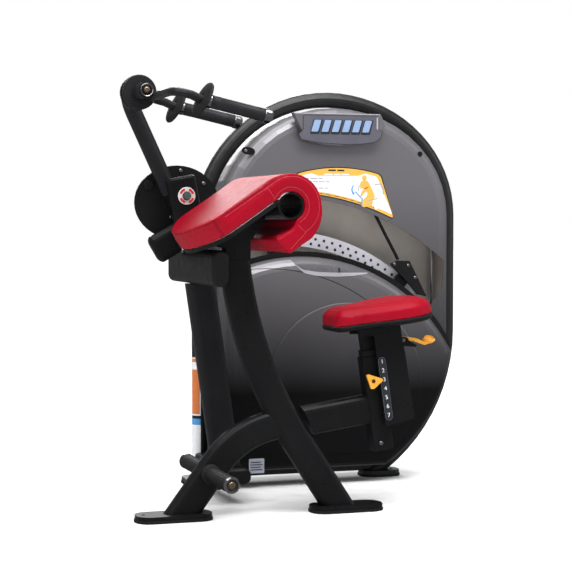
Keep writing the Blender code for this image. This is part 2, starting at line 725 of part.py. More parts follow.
def build_press_arm(paint, plastic, rubber, arm):
    foot = Vector((-0.2700, ARM_Y, 0.9420))
    elbow = Vector((HUB.x - 0.002, ARM_Y, HUB.z))
    reach = (elbow - foot).length
    straight_end = foot + (elbow - foot) * ((reach - 0.055) / reach)
    path = [foot, straight_end]
    turn_start = straight_end
    turn_end = Vector((HUB.x, ARM_Y - 0.055, HUB.z))
    corner = Vector((HUB.x, ARM_Y, HUB.z))
    for step in range(1, 8):
        t = step / 8
        path.append(turn_start * (1 - t) ** 2 + corner * (2 * t * (1 - t)) + turn_end * t * t)
    path.append(turn_end)
    path.append(Vector((HUB.x, 0.1720, HUB.z)))
    builder = bmesh.new()
    add_sweep(builder, path, round_section(ROUND_TUBE, 20))
    tube_obj = make_node("arm_tube", builder, paint, arm)

    hub = bmesh.new()
    add_turned(hub, rod(0.0400, 0.2790, 0.3320, 0.002), (PIVOT.x, 0, PIVOT.z), steps=24)
    boolean(tube_obj, make_cutter("arm_tube_hub", hub, arm), "UNION")
    collar = bmesh.new()
    shaft = [
        (0, 0.0600), (0.0150, 0.0600), (0.0150, 0.1665), (HUB_DISC_RADIUS - 0.003, 0.1665),
        (HUB_DISC_RADIUS, 0.1690), (HUB_DISC_RADIUS, 0.1770), (HUB_DISC_RADIUS - 0.003, 0.1800), (0, 0.1800),
    ]
    add_turned(collar, shaft, (HUB.x, 0, HUB.z), steps=28)
    boolean(tube_obj, make_cutter("arm_tube_shaft", collar, arm), "UNION")
    bore = bmesh.new()
    add_turned(bore, rod(0.0125, 0.2, 0.4, 0.0001), (PIVOT.x, 0, PIVOT.z), steps=16)
    boolean(tube_obj, make_cutter("arm_tube_bore", bore, arm), "DIFFERENCE")

    builder = bmesh.new()
    outline = []
    for step in range(40):
        angle = 2 * math.pi * step / 40
        outline.append((-0.2410 + 0.1320 * math.cos(angle), 0.9140 + 0.1130 * math.sin(angle)))
    add_prism(builder, outline, 0.3340, 0.3440)
    cam = make_node("cam_disc", builder, plastic, arm)
    bore = bmesh.new()
    add_turned(bore, rod(0.0125, 0.2, 0.4, 0.0001), (PIVOT.x, 0, PIVOT.z), steps=16)
    boolean(cam, make_cutter("cam_disc_bore", bore, arm), "DIFFERENCE")

    builder = bmesh.new()
    knob = [(0, 0.3264), (0.0120, 0.3264), (0.0160, 0.3290), (0.0160, 0.3336), (0, 0.3336)]
    add_turned(builder, knob, (-0.3300, 0, 0.9660), steps=16)
    make_node("arm_bumper", builder, rubber, arm)


def build_pivot(white, steel, machine):
    builder = bmesh.new()
    face = MAST_Y - TUBE_DEEP / 2
    shaft = [
        (0, 0.2110), (0.0105, 0.2110), (0.0105, 0.2180), (0.0122, 0.2180), (0.0122, 0.3470), (0, 0.3470),
    ]
    add_turned(builder, shaft, (PIVOT.x, 0, PIVOT.z), steps=16)
    make_node("pivot_shaft", builder, steel, machine)
    builder = bmesh.new()
    ring = [
        (0.0128, face - GAP), (0.0265, face - GAP), (0.0265, face - 0.0035),
        (0.0250, face - 0.0050), (0.0145, face - 0.0050), (0.0128, face - 0.0035),
    ]
    add_turned(builder, ring, (PIVOT.x, 0, PIVOT.z), steps=28)
    make_node("pivot_cap", builder, white, machine)


def handle_point(distance, drop, y):
    """Point on a handle's line: distance from the guard's centre, drop across the line."""
    x = GUARD_X + distance * math.cos(HANDLE_DROP) - drop * math.sin(HANDLE_DROP)
    z = GUARD_Z - distance * math.sin(HANDLE_DROP) - drop * math.cos(HANDLE_DROP)
    return Vector((x, y, z))


def build_handles(paint, rubber, chrome, handles):
    along = Vector((math.cos(HANDLE_DROP), 0, -math.sin(HANDLE_DROP)))
    bar_x, bar_z, turn = -0.3730, 1.2165, 0.050
    half = HANDLE_Y
    path = []
    tip = handle_point(0.198, 0, -half)
    path.append(tip)
    elbow = Vector((bar_x, -half, bar_z))
    entry = elbow + along * turn
    exit_point = Vector((bar_x, -half + turn, bar_z))
    bend = []
    for step in range(7):
        t = step / 6
        bend.append(entry * (1 - t) ** 2 + elbow * (2 * t * (1 - t)) + exit_point * t * t)
    near = [tip, handle_point(-0.010, 0, -half)] + bend
    far = [Vector((p.x, -p.y, p.z)) for p in near[::-1]]
    builder = bmesh.new()
    add_sweep(builder, near + far, round_section(HANDLE_TUBE, 14), side=(0, 1, 0.2))
    yoke = make_node("handle_yoke", builder, paint, handles)
    barrel = bmesh.new()
    profile = [
        (0.0153, 0.0600), (0.0240, 0.0600), (0.0240, 0.1370), (HUB_DISC_RADIUS - 0.002, 0.1380),
        (HUB_DISC_RADIUS, 0.1400), (HUB_DISC_RADIUS, 0.1470), (HUB_DISC_RADIUS - 0.002, 0.1490),
        (0.0240, 0.1490), (0.0240, 0.1655), (0.0153, 0.1655),
    ]
    add_turned(barrel, profile, (HUB.x, 0, HUB.z), steps=28)
    boolean(yoke, make_cutter("handle_barrel", barrel, handles), "UNION")

    inner = HANDLE_TUBE + GAP
    guard = [
        (inner, -0.006), (0.0200, -0.006), (0.0400, -0.001), (0.0470, -0.003), (0.0500, 0.001),
        (0.0470, 0.006), (0.0380, 0.008), (0.0200, 0.006), (0.0170, 0.0070), (0.0200, 0.0100),
        (0.0200, 0.0200), (0.0180, 0.0222), (inner, 0.0222),
    ]
    grip = [
        (inner, 0.0225), (0.0185, 0.0225), (GRIP_RADIUS, 0.0260), (GRIP_RADIUS, 0.1780),
        (0.0185, 0.1802), (inner, 0.1802),
    ]
    cup = [
        (0, 0.1986), (inner, 0.1986), (inner, 0.1805), (0.0195, 0.1805), (0.0205, 0.1820),
        (0.0205, 0.1980), (0.0150, 0.2045), (0, 0.2055),
    ]
    for end, y in (("near", -half), ("far", half)):
        centre = handle_point(0, 0, y)
        for name, profile, material, steps in (
            ("hand_guard_" + end, guard, rubber, 28),
            ("grip_" + end, grip, rubber, 20),
            ("grip_cap_" + end, cup, chrome, 20),
        ):
            builder = bmesh.new()
            add_turned(builder, profile, centre, along, steps)
            make_node(name, builder, material, handles)

    builder = bmesh.new()
    bolt = [
        (0, 0.0470), (0.0060, 0.0470), (0.0085, 0.0490), (0.0090, 0.0530), (0.0150, 0.0535),
        (0.0170, 0.0550), (0.0180, 0.0570), (0.0180, 0.0596), (0, 0.0596),
    ]
    add_turned(builder, bolt, (HUB.x, 0, HUB.z), steps=24)
    make_node("hub_bolt", builder, chrome, handles)


# ---------------------------------------------------------------- seat

def seat_matrix():
    """From the seat's own frame (u across the post, y, w up the post) to the design frame."""
    u = Vector((math.cos(SEAT_TILT), 0, math.sin(SEAT_TILT)))
    w = Vector((-math.sin(SEAT_TILT), 0, math.cos(SEAT_TILT)))
    return Matrix(
        (
            (u.x, 0, w.x, SEAT_ORIGIN.x),
            (0, 1, 0, 0),
            (u.z, 0, w.z, SEAT_ORIGIN.z),
            (0, 0, 0, 1),
        )
    )


def seat_point(u, y, w):
    return seat_matrix() @ Vector((u, y, w))


def seat_node(name, builder, material, parent):
    bmesh.ops.transform(builder, matrix=seat_matrix(), verts=builder.verts)
    return make_node(name, builder, material, parent)


def seat_cutter(name, builder, parent):
    bmesh.ops.transform(builder, matrix=seat_matrix(), verts=builder.verts)
    return make_cutter(name, builder, parent)


def add_square_tube(builder, u_low, u_high, half, w_low, w_high, wall, corner=0.004):
    middle = (u_low + u_high) / 2
    outer = rounded_section(u_high - u_low, 2 * half, corner, 2)
    inner = rounded_section(u_high - u_low - 2 * wall, 2 * (half - wall), max(corner - wall, 0.0015), 2)
    rings = []
    for loop, w in ((outer, w_low), (outer, w_high), (inner, w_high), (inner, w_low)):
        rings.append([builder.verts.new((middle + a, b, w)) for a, b in loop])
    join_rings(builder, rings + rings[:1], capped=False)


def build_seat_frame(paint, plastic, yellow, machine):
    """The beam from the front leg, the post, its plastic bushing and the height pointer."""
    builder = bmesh.new()
    start = Vector((0.0200, 0, 0.2665))
    slope = math.radians(8.2)
    end = start + Vector((math.cos(slope), 0, math.sin(slope))) * 0.30
    lean = math.radians(27.5)
    leg_side = ((0.0660, 0, 0.2665), (math.cos(lean), 0, math.sin(lean)))
    post_face = seat_point(POST_LEFT - GAP, 0, 0)
    post_side = (post_face, (math.cos(SEAT_TILT), 0, math.sin(SEAT_TILT)))
    section = rounded_section(TUBE_WIDE, TUBE_DEEP, TUBE_CORNER)
    add_sweep(builder, [start, end], section, ends=(leg_side, post_side))
    make_node("seat_beam", builder, paint, machine)

    builder = bmesh.new()
    add_square_tube(builder, POST_LEFT, POST_RIGHT, POST_HALF, POST_LOW, POST_HIGH, POST_WALL)
    post = seat_node("seat_post", builder, paint, machine)
    holes = bmesh.new()
    for number in range(SEAT_HOLES):
        w = LATCH_W + (number - 2) * SEAT_STEP
        add_turned(holes, rod(0.0065, 0.06, 0.10, 0.0001), (0, 0, w), (1, 0, 0), 10)
    boolean(post, seat_cutter("latch_holes", holes, machine), "DIFFERENCE")

    builder = bmesh.new()
    slack = POST_WALL + GAP
    left, right, half = POST_LEFT + slack, POST_RIGHT - slack, POST_HALF - slack
    add_square_tube(builder, left, right, half, 0.0800, 0.1120, 0.0034, 0.003)
    seat_node("post_bushing", builder, plastic, machine)

    builder = bmesh.new()
    outline = [
        (0.0130, 0.0440), (0.0200, 0.0460), (0.0610, 0.0260),
        (0.0620, 0.0200), (0.0310, 0.0010), (0.0220, 0.0020),
    ]
    add_prism(builder, outline, -0.0540, -0.0470)
    pointer = seat_node("height_pointer", builder, yellow, machine)
    stem = bmesh.new()
    add_turned(stem, rod(0.0070, -0.0500, -POST_HALF - GAP, 0.0001), (0.0320, 0, 0.0235), (0, 1, 0), 12)
    boolean(pointer, seat_cutter("pointer_stem", stem, machine), "UNION")


def seat_half_width(u):
    """Half the seat's width at u: narrow at the front, widest behind, round at the rear."""
    if u <= SEAT_WIDEST:
        t = max(0.0, min(1.0, (u + 0.035) / (SEAT_WIDEST + 0.035)))
        return SEAT_FRONT_HALF + (SEAT_WIDE_HALF - SEAT_FRONT_HALF) * t * t * (3 - 2 * t)
    t = (u - SEAT_WIDEST) / (SEAT_REAR - SEAT_WIDEST)
    return SEAT_WIDE_HALF * math.sqrt(max(0.0, 1 - t ** 2.4))


def seat_plan():
    """Plan outline of the seat, counterclockwise, in u and y."""
    corner = 0.030
    side = []
    for step in range(5):
        angle = math.pi / 2 * step / 4
        u = SEAT_FRONT + corner * (1 - math.cos(angle))
        side.append((u, SEAT_FRONT_HALF - corner * (1 - math.sin(angle))))
    for step in range(1, 9):
        u = SEAT_FRONT + corner + (SEAT_WIDEST - SEAT_FRONT - corner) * step / 8
        side.append((u, seat_half_width(u)))
    for step in range(1, 10):
        t = math.sin(math.pi / 2 * step / 9)
        u = SEAT_WIDEST + (SEAT_REAR - SEAT_WIDEST) * t
        side.append((u, max(seat_half_width(u), 0.0)))
    right = [(u, -y) for u, y in side]
    left = [(u, y) for u, y in side[-2::-1]]
    return right + left


def add_seat_slab(builder, plan, layers):
    """Stacks insets of the plan: layers holds (inset, w)."""
    rings = []
    for inset, w in layers:
        rings.append([builder.verts.new((u, y, w)) for u, y in polygon_inset(plan, inset)])
    join_rings(builder, rings)


CARRIAGE_OUTER = [
    (0.055, -0.117), (0.149, -0.110), (0.146, 0.085), (0.142, 0.130),
    (0.142, 0.1825), (0.012, 0.1825), (0.012, 0.1610), (0.055, 0.1550),
]
CARRIAGE_INNER = [
    (-0.020, -0.130), (0.083, -0.130), (0.083, -0.1105), (0.1445, -0.1055),
    (0.1415, 0.084), (0.1375, 0.129), (0.1375, 0.1747), (-0.020, 0.1747),
]
CARRIAGE_HALF, CARRIAGE_ROOM = 0.0450, 0.0405
LEVER_U, LEVER_W = 0.158, 0.1225


def build_seat(paint, board, leather, steel, seat):
    builder = bmesh.new()
    add_prism(builder, CARRIAGE_OUTER, -CARRIAGE_HALF, CARRIAGE_HALF)
    carriage = seat_node("seat_carriage", builder, paint, seat)
    room = bmesh.new()
    add_prism(room, CARRIAGE_INNER, -CARRIAGE_ROOM, CARRIAGE_ROOM)
    boolean(carriage, seat_cutter("carriage_room", room, seat), "DIFFERENCE")
    ears = [
        (0.1390, 0.1320), (0.1390, 0.1040), (0.1600, 0.1040), (0.1950, 0.0960),
        (0.1990, 0.1010), (0.1760, 0.1180), (0.1720, 0.1280), (0.1600, 0.1320),
    ]
    for number, (low_y, high_y) in enumerate([(-0.0125, -0.0075), (0.0075, 0.0125)]):
        ear = bmesh.new()
        add_prism(ear, ears, low_y, high_y)
        boolean(carriage, seat_cutter(f"lever_ear_{number}", ear, seat), "UNION")
    guide = bmesh.new()
    add_turned(guide, rod(0.0120, 0.1000, 0.1450, 0.001), (0, 0, LATCH_W), (1, 0, 0), 16)
    boolean(carriage, seat_cutter("latch_guide", guide, seat), "UNION")
    bore = bmesh.new()
    add_turned(bore, rod(0.0064, 0.09, 0.16, 0.0001), (0, 0, LATCH_W), (1, 0, 0), 16)
    boolean(carriage, seat_cutter("latch_bore", bore, seat), "DIFFERENCE")

    builder = bmesh.new()
    add_square_tube(builder, 0.0265, 0.0715, 0.0165, -0.080, 0.1744, 0.003)
    seat_node("seat_tube", builder, steel, seat)

    builder = bmesh.new()
    layers = [
        (0.010, BOARD_LOW), (0.002, BOARD_LOW + 0.004), (0.0, BOARD_HIGH - 0.004), (0.001, BOARD_HIGH),
    ]
    add_seat_slab(builder, seat_plan(), layers)
    seat_node("seat_board", builder, board, seat)

    builder = bmesh.new()
    base = BOARD_HIGH + GAP
    layers = [
        (0.003, base), (0.001, base + 0.006), (0.004, base + 0.030), (0.010, CUSHION_HIGH - 0.014),
        (0.021, CUSHION_HIGH - 0.004), (0.036, CUSHION_HIGH),
    ]
    add_seat_slab(builder, seat_plan(), layers)
    seat_node("seat_cushion", builder, leather, seat)


def build_seat_lever(yellow, lever):
    builder = bmesh.new()
    outline = [
        (0.1470, 0.1285), (0.1600, 0.1210), (0.1900, 0.1150), (0.2120, 0.1040), (0.2280, 0.0960),
        (0.2440, 0.1000), (0.2430, 0.1080), (0.2280, 0.1060), (0.2140, 0.1140), (0.2000, 0.1220),
        (0.1600, 0.1330), (0.1500, 0.1345),
    ]
    add_prism(builder, outline, -0.0065, 0.0065)
    handle = seat_node("seat_lever", builder, yellow, lever)
    paddle = bmesh.new()
    profile = [
        (0, -0.0045), (0.010, -0.0042), (0.0165, 0.0000), (0.0180, 0.0040),
        (0.0160, 0.0050), (0.0110, 0.0008), (0, -0.0005),
    ]
    add_turned(paddle, profile, (0, 0, 0), (0, 0, 1), 18)
    place = Matrix.Translation((0.2430, 0, 0.1060)) @ Matrix.Rotation(math.radians(8), 4, "Y")
    squeeze = Matrix.Diagonal((1.15, 1.15, 1.25, 1))
    bmesh.ops.transform(paddle, matrix=place @ squeeze, verts=paddle.verts)
    boolean(handle, seat_cutter("lever_paddle", paddle, lever), "UNION")


def build_latch_pin(steel, latch):
    builder = bmesh.new()
    profile = [(0, 0.0806), (0.0045, 0.0806), (0.0060, 0.0826), (0.0060, 0.1300), (0, 0.1300)]
    add_turned(builder, profile, (0, 0, LATCH_W), (1, 0, 0), 16)
    seat_node("latch_pin", builder, steel, latch)


# ---------------------------------------------------------------- tower

def build_ring(paint, machine):
    builder = bmesh.new()
    line = tower_outline(ROUND_TUBE, WELD_Z, 34)
    floor = ((0, 0, WELD_Z), (0, 0, 1))
    add_sweep(builder, in_plane(line, RING_Y), round_section(ROUND_TUBE, 18), ends=(floor, floor))
    ring = make_node("tower_ring", builder, paint, machine)
    rail = bmesh.new()
    path = [Vector((RING_LEFT + ROUND_TUBE, RING_Y, 0.034)), Vector((0.5300, RING_Y, 0.034))]
    add_sweep(rail, path, rounded_section(0.028, 0.036, 0.005, 2), side=(0, 1, 0))
    boolean(ring, make_cutter("base_rail", rail, machine), "UNION")
    weld_plates(ring, "tower_ring", TOWER_PLATES, machine)


def build_tower_frame(paint, steel, machine):
    builder = bmesh.new()
    outline = [
        (0.140, 0.0483), (0.190, 0.0483), (0.190, 1.0400), (0.380, 1.0400), (0.380, 1.0850),
        (0.190, 1.0850), (0.190, 1.1300), (0.140, 1.1300),
    ]
    add_prism(builder, outline, 0.5893, 0.6215)
    make_node("tower_spine", builder, paint, machine)

    builder = bmesh.new()
    axle = [
        (0, 0.5060), (0.0110, 0.5060), (0.0120, 0.5070), (0.0120, 0.5800),
        (0.0300, 0.5800), (0.0300, 0.5890), (0, 0.5890),
    ]
    add_turned(builder, axle, (SWING[0], 0, SWING[1]), steps=16)
    make_node("swing_axle", builder, steel, machine)

    builder = bmesh.new()
    rod_x, low, high = 0.7160, 0.5000, 0.8800
    profile = [
        (0, low), (0.0110, low), (0.0110, low + 0.03), (0.0065, low + 0.032), (0.0065, high - 0.032),
        (0.0110, high - 0.03), (0.0110, high), (0, high),
    ]
    add_turned(builder, profile, (rod_x, RING_Y - 0.012, 0), (0, 0, 1), 16)
    guide = make_node("guide_rod", builder, steel, machine)
    lugs = bmesh.new()
    reach = RING_RIGHT - SHROUD_INSET - SHROUD_WALL - 0.0010
    for z in (low + 0.008, high - 0.022):
        add_box(lugs, (rod_x, RING_Y - 0.018, z), (reach, RING_Y - 0.006, z + 0.014))
    boolean(guide, make_cutter("guide_rod_lugs", lugs, machine), "UNION")


def window_cut():
    """Outline of what is open in the front shroud: the window, and all that the bulge covers."""
    start = math.atan2(math.sqrt(WINDOW_RADIUS ** 2 - 0.36 ** 2), -0.36)
    first = WINDOW_CURL[0]
    end = math.atan2(first[1] - WINDOW_ARC[1], first[0] - WINDOW_ARC[0])
    top = arc(WINDOW_ARC, WINDOW_RADIUS, start, end, 24)
    outer = RIM_OUTER + 0.0025
    curl_end = WINDOW_CURL[-1]
    turn = math.atan2(curl_end[1] - BULGE[1], curl_end[0] - BULGE[0])
    side = arc(BULGE, outer, turn - 0.02, -0.35, 12)
    return top + WINDOW_CURL[1:] + side + [(0.80, -0.10), (-0.20, -0.10)]


def build_shrouds(metal, dark, machine):
    builder = bmesh.new()
    outline = tower_outline(SHROUD_INSET, SHROUD_LOW)
    add_shell(builder, outline, SHROUD_FRONT, SHROUD_BACK, SHROUD_EDGE, SHROUD_WALL)
    shroud = make_node("front_shroud", builder, metal, machine)
    cut = bmesh.new()
    add_prism(cut, window_cut(), 0.30, SHROUD_SEAM)
    boolean(shroud, make_cutter("front_shroud_window", cut, machine), "DIFFERENCE")

    builder = bmesh.new()
    outline = below_circle(BULGE, BULGE_RADIUS, tower_outline(SHROUD_INSET, SHROUD_LOW))
    add_shell(builder, outline, BULGE_FRONT, SHROUD_SEAM - GAP, 0.040, SHROUD_WALL)
    make_node("lower_bulge", builder, metal, machine)

    builder = bmesh.new()
    inner, outer = BULGE_RADIUS + 0.0006, RIM_OUTER
    line = tower_outline(SHROUD_INSET + 0.001, SHROUD_LOW)
    left, right = circle_crossings(BULGE, inner, line)[:2]
    far_left, far_right = circle_crossings(BULGE, outer, line)[:2]

    def angle_of(point):
        return math.atan2(point.y - BULGE[1], point.x - BULGE[0])

    band = arc(BULGE, inner, angle_of(left), angle_of(right), 24)
    band += arc(BULGE, outer, angle_of(far_right), angle_of(far_left), 24)
    add_prism(builder, band, 0.4960, 0.5120)
    make_node("bulge_rim", builder, dark, machine)

    builder = bmesh.new()
    cover, cover_radius, cover_low = (0.355, 0.325), 0.268, 0.100
    dip = math.asin((cover_low - cover[1]) / cover_radius)
    cap_outline = arc(cover, cover_radius, math.pi - dip, dip, 30)
    layers = [
        (cap_outline, BULGE_FRONT - GAP),
        (cap_outline, 0.4532),
        (polygon_inset(cap_outline, 0.003), 0.4520),
    ]
    rings = [[builder.verts.new((x, y, z)) for x, z in loop] for loop, y in layers]
    join_rings(builder, rings)
    make_node("bulge_cover", builder, metal, machine)

    builder = bmesh.new()
    outline = tower_outline(SHROUD_INSET, SHROUD_LOW)
    add_shell(builder, outline, REAR_BACK, REAR_FRONT, SHROUD_EDGE, SHROUD_WALL)
    rear = make_node("rear_shroud", builder, metal, machine)
    notch = bmesh.new()
    add_box(notch, (0.138, 0.580, 0.040), (0.192, 0.6235, 0.070))
    boolean(rear, make_cutter("spine_notch", notch, machine), "DIFFERENCE")


def build_front_trim(dark, silver, machine):
    builder = bmesh.new()
    outline = [
        (0.180, 1.206), (0.482, 1.206), (0.500, 1.169), (0.459, 1.116), (0.396, 1.104),
        (0.334, 1.100), (0.280, 1.104), (0.227, 1.114), (0.200, 1.167),
    ]
    add_prism(builder, outline, 0.4740, SHROUD_FRONT - GAP)
    bevel(make_node("badge_box", builder, dark, machine), 0.003)

    builder = bmesh.new()
    band = arc(SWING, SELECTOR_INNER, math.radians(108), math.radians(44), 22)
    band += arc(SWING, SELECTOR_OUTER, math.radians(44), math.radians(108), 22)
    add_prism(builder, band, 0.5450, 0.5490)
    make_node("selector_arc", builder, silver, machine)


def build_swing(paint, dark, iron, rubber, swing):
    """The swing arm behind the bulge, its weights, its bracket and the belt's end."""
    angle = math.radians(50)
    reach = Vector((math.cos(angle), math.sin(angle)))
    side = Vector((-reach.y, reach.x))
    centre = Vector(SWING)
    builder = bmesh.new()
    corners = ((0.0, -0.030), (0.655, -0.022), (0.672, 0.0), (0.655, 0.022), (0.0, 0.030))
    outline = [tuple(centre + reach * r + side * s) for r, s in corners]
    outline += arc(SWING, 0.030, angle + math.pi / 2 + 0.3, angle + 3 * math.pi / 2 - 0.3, 6)
    add_prism(builder, outline, 0.5220, 0.5330)
    bar = make_node("swing_arm", builder, paint, swing)
    bore = bmesh.new()
    add_turned(bore, rod(0.0123, 0.4, 0.7, 0.0001), (SWING[0], 0, SWING[1]), steps=16)
    boolean(bar, make_cutter("swing_arm_bore", bore, swing), "DIFFERENCE")

    builder = bmesh.new()
    spot = centre + reach * 0.33
    profile = [(0, 0.5333)]
    for index in range(3):
        low = 0.5333 + index * 0.0155
        profile += [(0.098, low), (0.100, low + 0.002), (0.100, low + 0.0130), (0.098, low + 0.0150)]
        if index < 2:
            profile += [(0.094, low + 0.0150), (0.094, low + 0.0155)]
    profile.append((0, 0.5333 + 0.0460))
    add_turned(builder, profile, (spot.x, 0, spot.y), steps=28)
    make_node("weight_plates", builder, iron, swing)

    builder = bmesh.new()
    outline = [
        (0.531, 0.715), (0.556, 0.726), (0.601, 0.725), (0.662, 0.606), (0.628, 0.613), (0.599, 0.647),
    ]
    add_prism(builder, outline, 0.5100, 0.5217)
    bevel(make_node("belt_bracket", builder, dark, swing), 0.0015)

    builder = bmesh.new()
    start, finish = Vector((0.5605, 0.7300)), Vector((0.4790, 0.8790))
    run = (finish - start).normalized()
    across = Vector((-run.y, run.x)) * 0.0022
    outline = [tuple(start - across), tuple(start + across), tuple(finish + across), tuple(finish - across)]
    add_prism(builder, outline, 0.5070, 0.5270)
    make_node("drive_belt", builder, rubber, swing)


def build_pulley(plastic, pulley):
    builder = bmesh.new()
    profile = [
        (0, 0.5080), (0.0500, 0.5080), (0.0520, 0.5100), (0.0480, 0.5140), (0.0480, 0.5300),
        (0.0520, 0.5340), (0.0500, 0.5360), (0.0150, 0.5360), (0.0080, 0.5400),
        (0.0080, 0.5890), (0, 0.5890),
    ]
    add_turned(builder, profile, (PULLEY_X, 0, PULLEY_Z), steps=28)
    make_node("belt_pulley", builder, plastic, pulley)


# ---------------------------------------------------------------- the whole machine

def main():
    clear_scene()
    paint = make_material("frame_paint", (0.030, 0.031, 0.033), 0.30, 0.45)
    plastic = make_material("black_plastic", (0.020, 0.020, 0.021), 0.0, 0.45)
    rubber = make_material("rubber", (0.022, 0.022, 0.023), 0.0, 0.75)
    chrome = make_material("chrome", (0.80, 0.80, 0.82), 1.0, 0.12)
    steel = make_material("steel", (0.55, 0.55, 0.56), 1.0, 0.30)
    leather = make_material("red_upholstery", (0.55, 0.010, 0.030), 0.0, 0.40)
    board = make_material("pad_board", (0.016, 0.016, 0.016), 0.0, 0.60)
    metal = make_material("shroud_grey", (0.14, 0.135, 0.14), 0.60, 0.38)
    silver = make_material("selector_silver", (0.42, 0.42, 0.45), 0.60, 0.35)
    white = make_material("white_plastic", (0.80, 0.80, 0.80), 0.0, 0.35)
    yellow = make_material("yellow_plastic", (0.80, 0.38, 0.04), 0.0, 0.35)
    iron = make_material("iron_weights", (0.05, 0.05, 0.05), 0.7, 0.55)

    machine = make_empty("machine", (0, 0, 0))
    machine.location = (-CENTRE_X, -CENTRE_Y, 0)
    arm = make_empty("arm_pivot", PIVOT, machine)
    handles = make_empty("handle_pivot", HUB, arm)
    seat = make_empty("seat_slide", SEAT_ORIGIN, machine)
    lever = make_empty("lever_pivot", seat_point(LEVER_U, 0, LEVER_W), seat)
    latch = make_empty("latch_slide", seat_point(0.1, 0, LATCH_W), seat)
    swing = make_empty("swing_pivot", (SWING[0], 0, SWING[1]), machine)
    pulley = make_empty("pulley_pivot", (PULLEY_X, 0, PULLEY_Z), machine)

    build_front_leg(paint, machine)
    build_brace_leg(paint, machine)
    build_rubber_feet(rubber, machine)
    build_masts(paint, machine)
    build_cross_beam(paint, machine)
    build_tube_caps(plastic, machine)
    build_base_beam(paint, machine)
    build_foot_pegs(paint, rubber, chrome, machine)
    build_elbow_pad(leather, board, paint, machine)
    build_press_arm(paint, plastic, rubber, arm)
    build_pivot(white, steel, machine)
    build_handles(paint, rubber, chrome, handles)
    build_seat_frame(paint, plastic, yellow, machine)
    build_seat(paint, board, leather, steel, seat)
    build_seat_lever(yellow, lever)
    build_latch_pin(steel, latch)
    build_ring(paint, machine)
    build_tower_frame(paint, steel, machine)
    build_shrouds(metal, plastic, machine)
    build_front_trim(plastic, silver, machine)
    build_swing(paint, plastic, iron, rubber, swing)
    build_pulley(plastic, pulley)


main()
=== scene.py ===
import math

import bmesh
import bpy
from mathutils import Matrix, Vector
from mathutils.bvhtree import BVHTree
from mathutils.kdtree import KDTree


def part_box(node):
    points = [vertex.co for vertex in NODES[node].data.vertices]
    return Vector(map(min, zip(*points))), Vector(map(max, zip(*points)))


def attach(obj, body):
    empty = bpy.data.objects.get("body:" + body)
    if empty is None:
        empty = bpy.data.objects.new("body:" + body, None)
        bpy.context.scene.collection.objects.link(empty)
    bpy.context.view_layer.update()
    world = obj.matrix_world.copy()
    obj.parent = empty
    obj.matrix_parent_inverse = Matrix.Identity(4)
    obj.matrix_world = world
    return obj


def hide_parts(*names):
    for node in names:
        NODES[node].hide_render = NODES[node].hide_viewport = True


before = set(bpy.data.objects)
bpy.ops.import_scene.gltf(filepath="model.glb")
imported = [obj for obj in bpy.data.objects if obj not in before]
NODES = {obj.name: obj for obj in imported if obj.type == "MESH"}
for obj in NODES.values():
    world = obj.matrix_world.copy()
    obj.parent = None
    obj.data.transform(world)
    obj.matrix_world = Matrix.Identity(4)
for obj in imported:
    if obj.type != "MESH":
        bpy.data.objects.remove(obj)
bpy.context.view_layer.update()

# The user's middle plane, and the X that the sizes below are measured from, in the row frame.
ORIGIN = Vector((-0.1730, -0.2259, 0.0))

PAD_TILT = math.radians(34.2)
ROLL = Vector((-0.0540, 0.8995))
ROLL_RADIUS, ROLL_FOOT_RADIUS, ROLL_HOLE = 0.092, 0.109, 0.0397
PAD_HALF, SLAB_CORNER, SLAB_NOSE, SLAB_THICK = 0.215, -0.210, -0.277, 0.056
SEAT_TILT = math.radians(8.0)
SEAT_ORIGIN = Vector((0.2250, 0.0, 0.3590))
PIVOT = Vector((-0.2395, 0.0, 0.9325))
HUB = Vector((-0.4020, 0.0, 1.2320))
SWING = (0.165, 0.170)
HANDLE_DROP = math.radians(12.6)
GUARD = (-0.2910, 1.1930)
HANDLE_Y = 0.150
WRAP_END = 0.070
SEAT_BASE = 0.1983
PEG_X, PEG_FACE, PEG_Z = -0.236, 0.2436, 0.132

# How the upholstery is swollen: its pressure, how far it is drawn in first, and how often it is smoothed.
PAD_PRESSURE, PAD_SHRINK, PAD_SMOOTHING = 2.0, 0.0003, 2
SWELL_FRAMES = 20


def at(x, y, z):
    """A point measured from the user's middle plane, in the row frame."""
    return Vector((x, y, z)) + ORIGIN


def pad_at(along, y, up):
    """A point of the elbow pad's own frame: along the slab, across it, and out of its face."""
    x = ROLL.x + along * math.cos(PAD_TILT) - up * math.sin(PAD_TILT)
    z = ROLL.y + along * math.sin(PAD_TILT) + up * math.cos(PAD_TILT)
    return at(x, y, z)


def seat_at(u, y, w):
    """A point of the seat's own frame: u across its post, w up its post."""
    x = SEAT_ORIGIN.x + u * math.cos(SEAT_TILT) - w * math.sin(SEAT_TILT)
    z = SEAT_ORIGIN.z + u * math.sin(SEAT_TILT) + w * math.cos(SEAT_TILT)
    return at(x, y, z)


# ---------------------------------------------------------------- camera, light and floor

CAMERA_YAW, CAMERA_PITCH = math.radians(18.2), math.radians(2.28)
CAMERA_AWAY, CAMERA_HEIGHT, CAMERA_LENS, CAMERA_SENSOR = 4.82, 0.86, 104.1, 36.0
STUDIO_FILL = 0.25
SKY_POWER, SKY_SPREAD = 3.3, math.radians(70)


def make_camera():
    data = bpy.data.cameras.new("camera")
    data.lens = CAMERA_LENS
    data.sensor_width = CAMERA_SENSOR
    camera = bpy.data.objects.new("camera", data)
    bpy.context.scene.collection.objects.link(camera)
    across, back = -CAMERA_AWAY * math.sin(CAMERA_YAW), -CAMERA_AWAY * math.cos(CAMERA_YAW)
    camera.location = at(across, back, CAMERA_HEIGHT)
    camera.rotation_euler = (math.pi / 2 - CAMERA_PITCH, 0, -CAMERA_YAW)
    bpy.context.scene.camera = camera


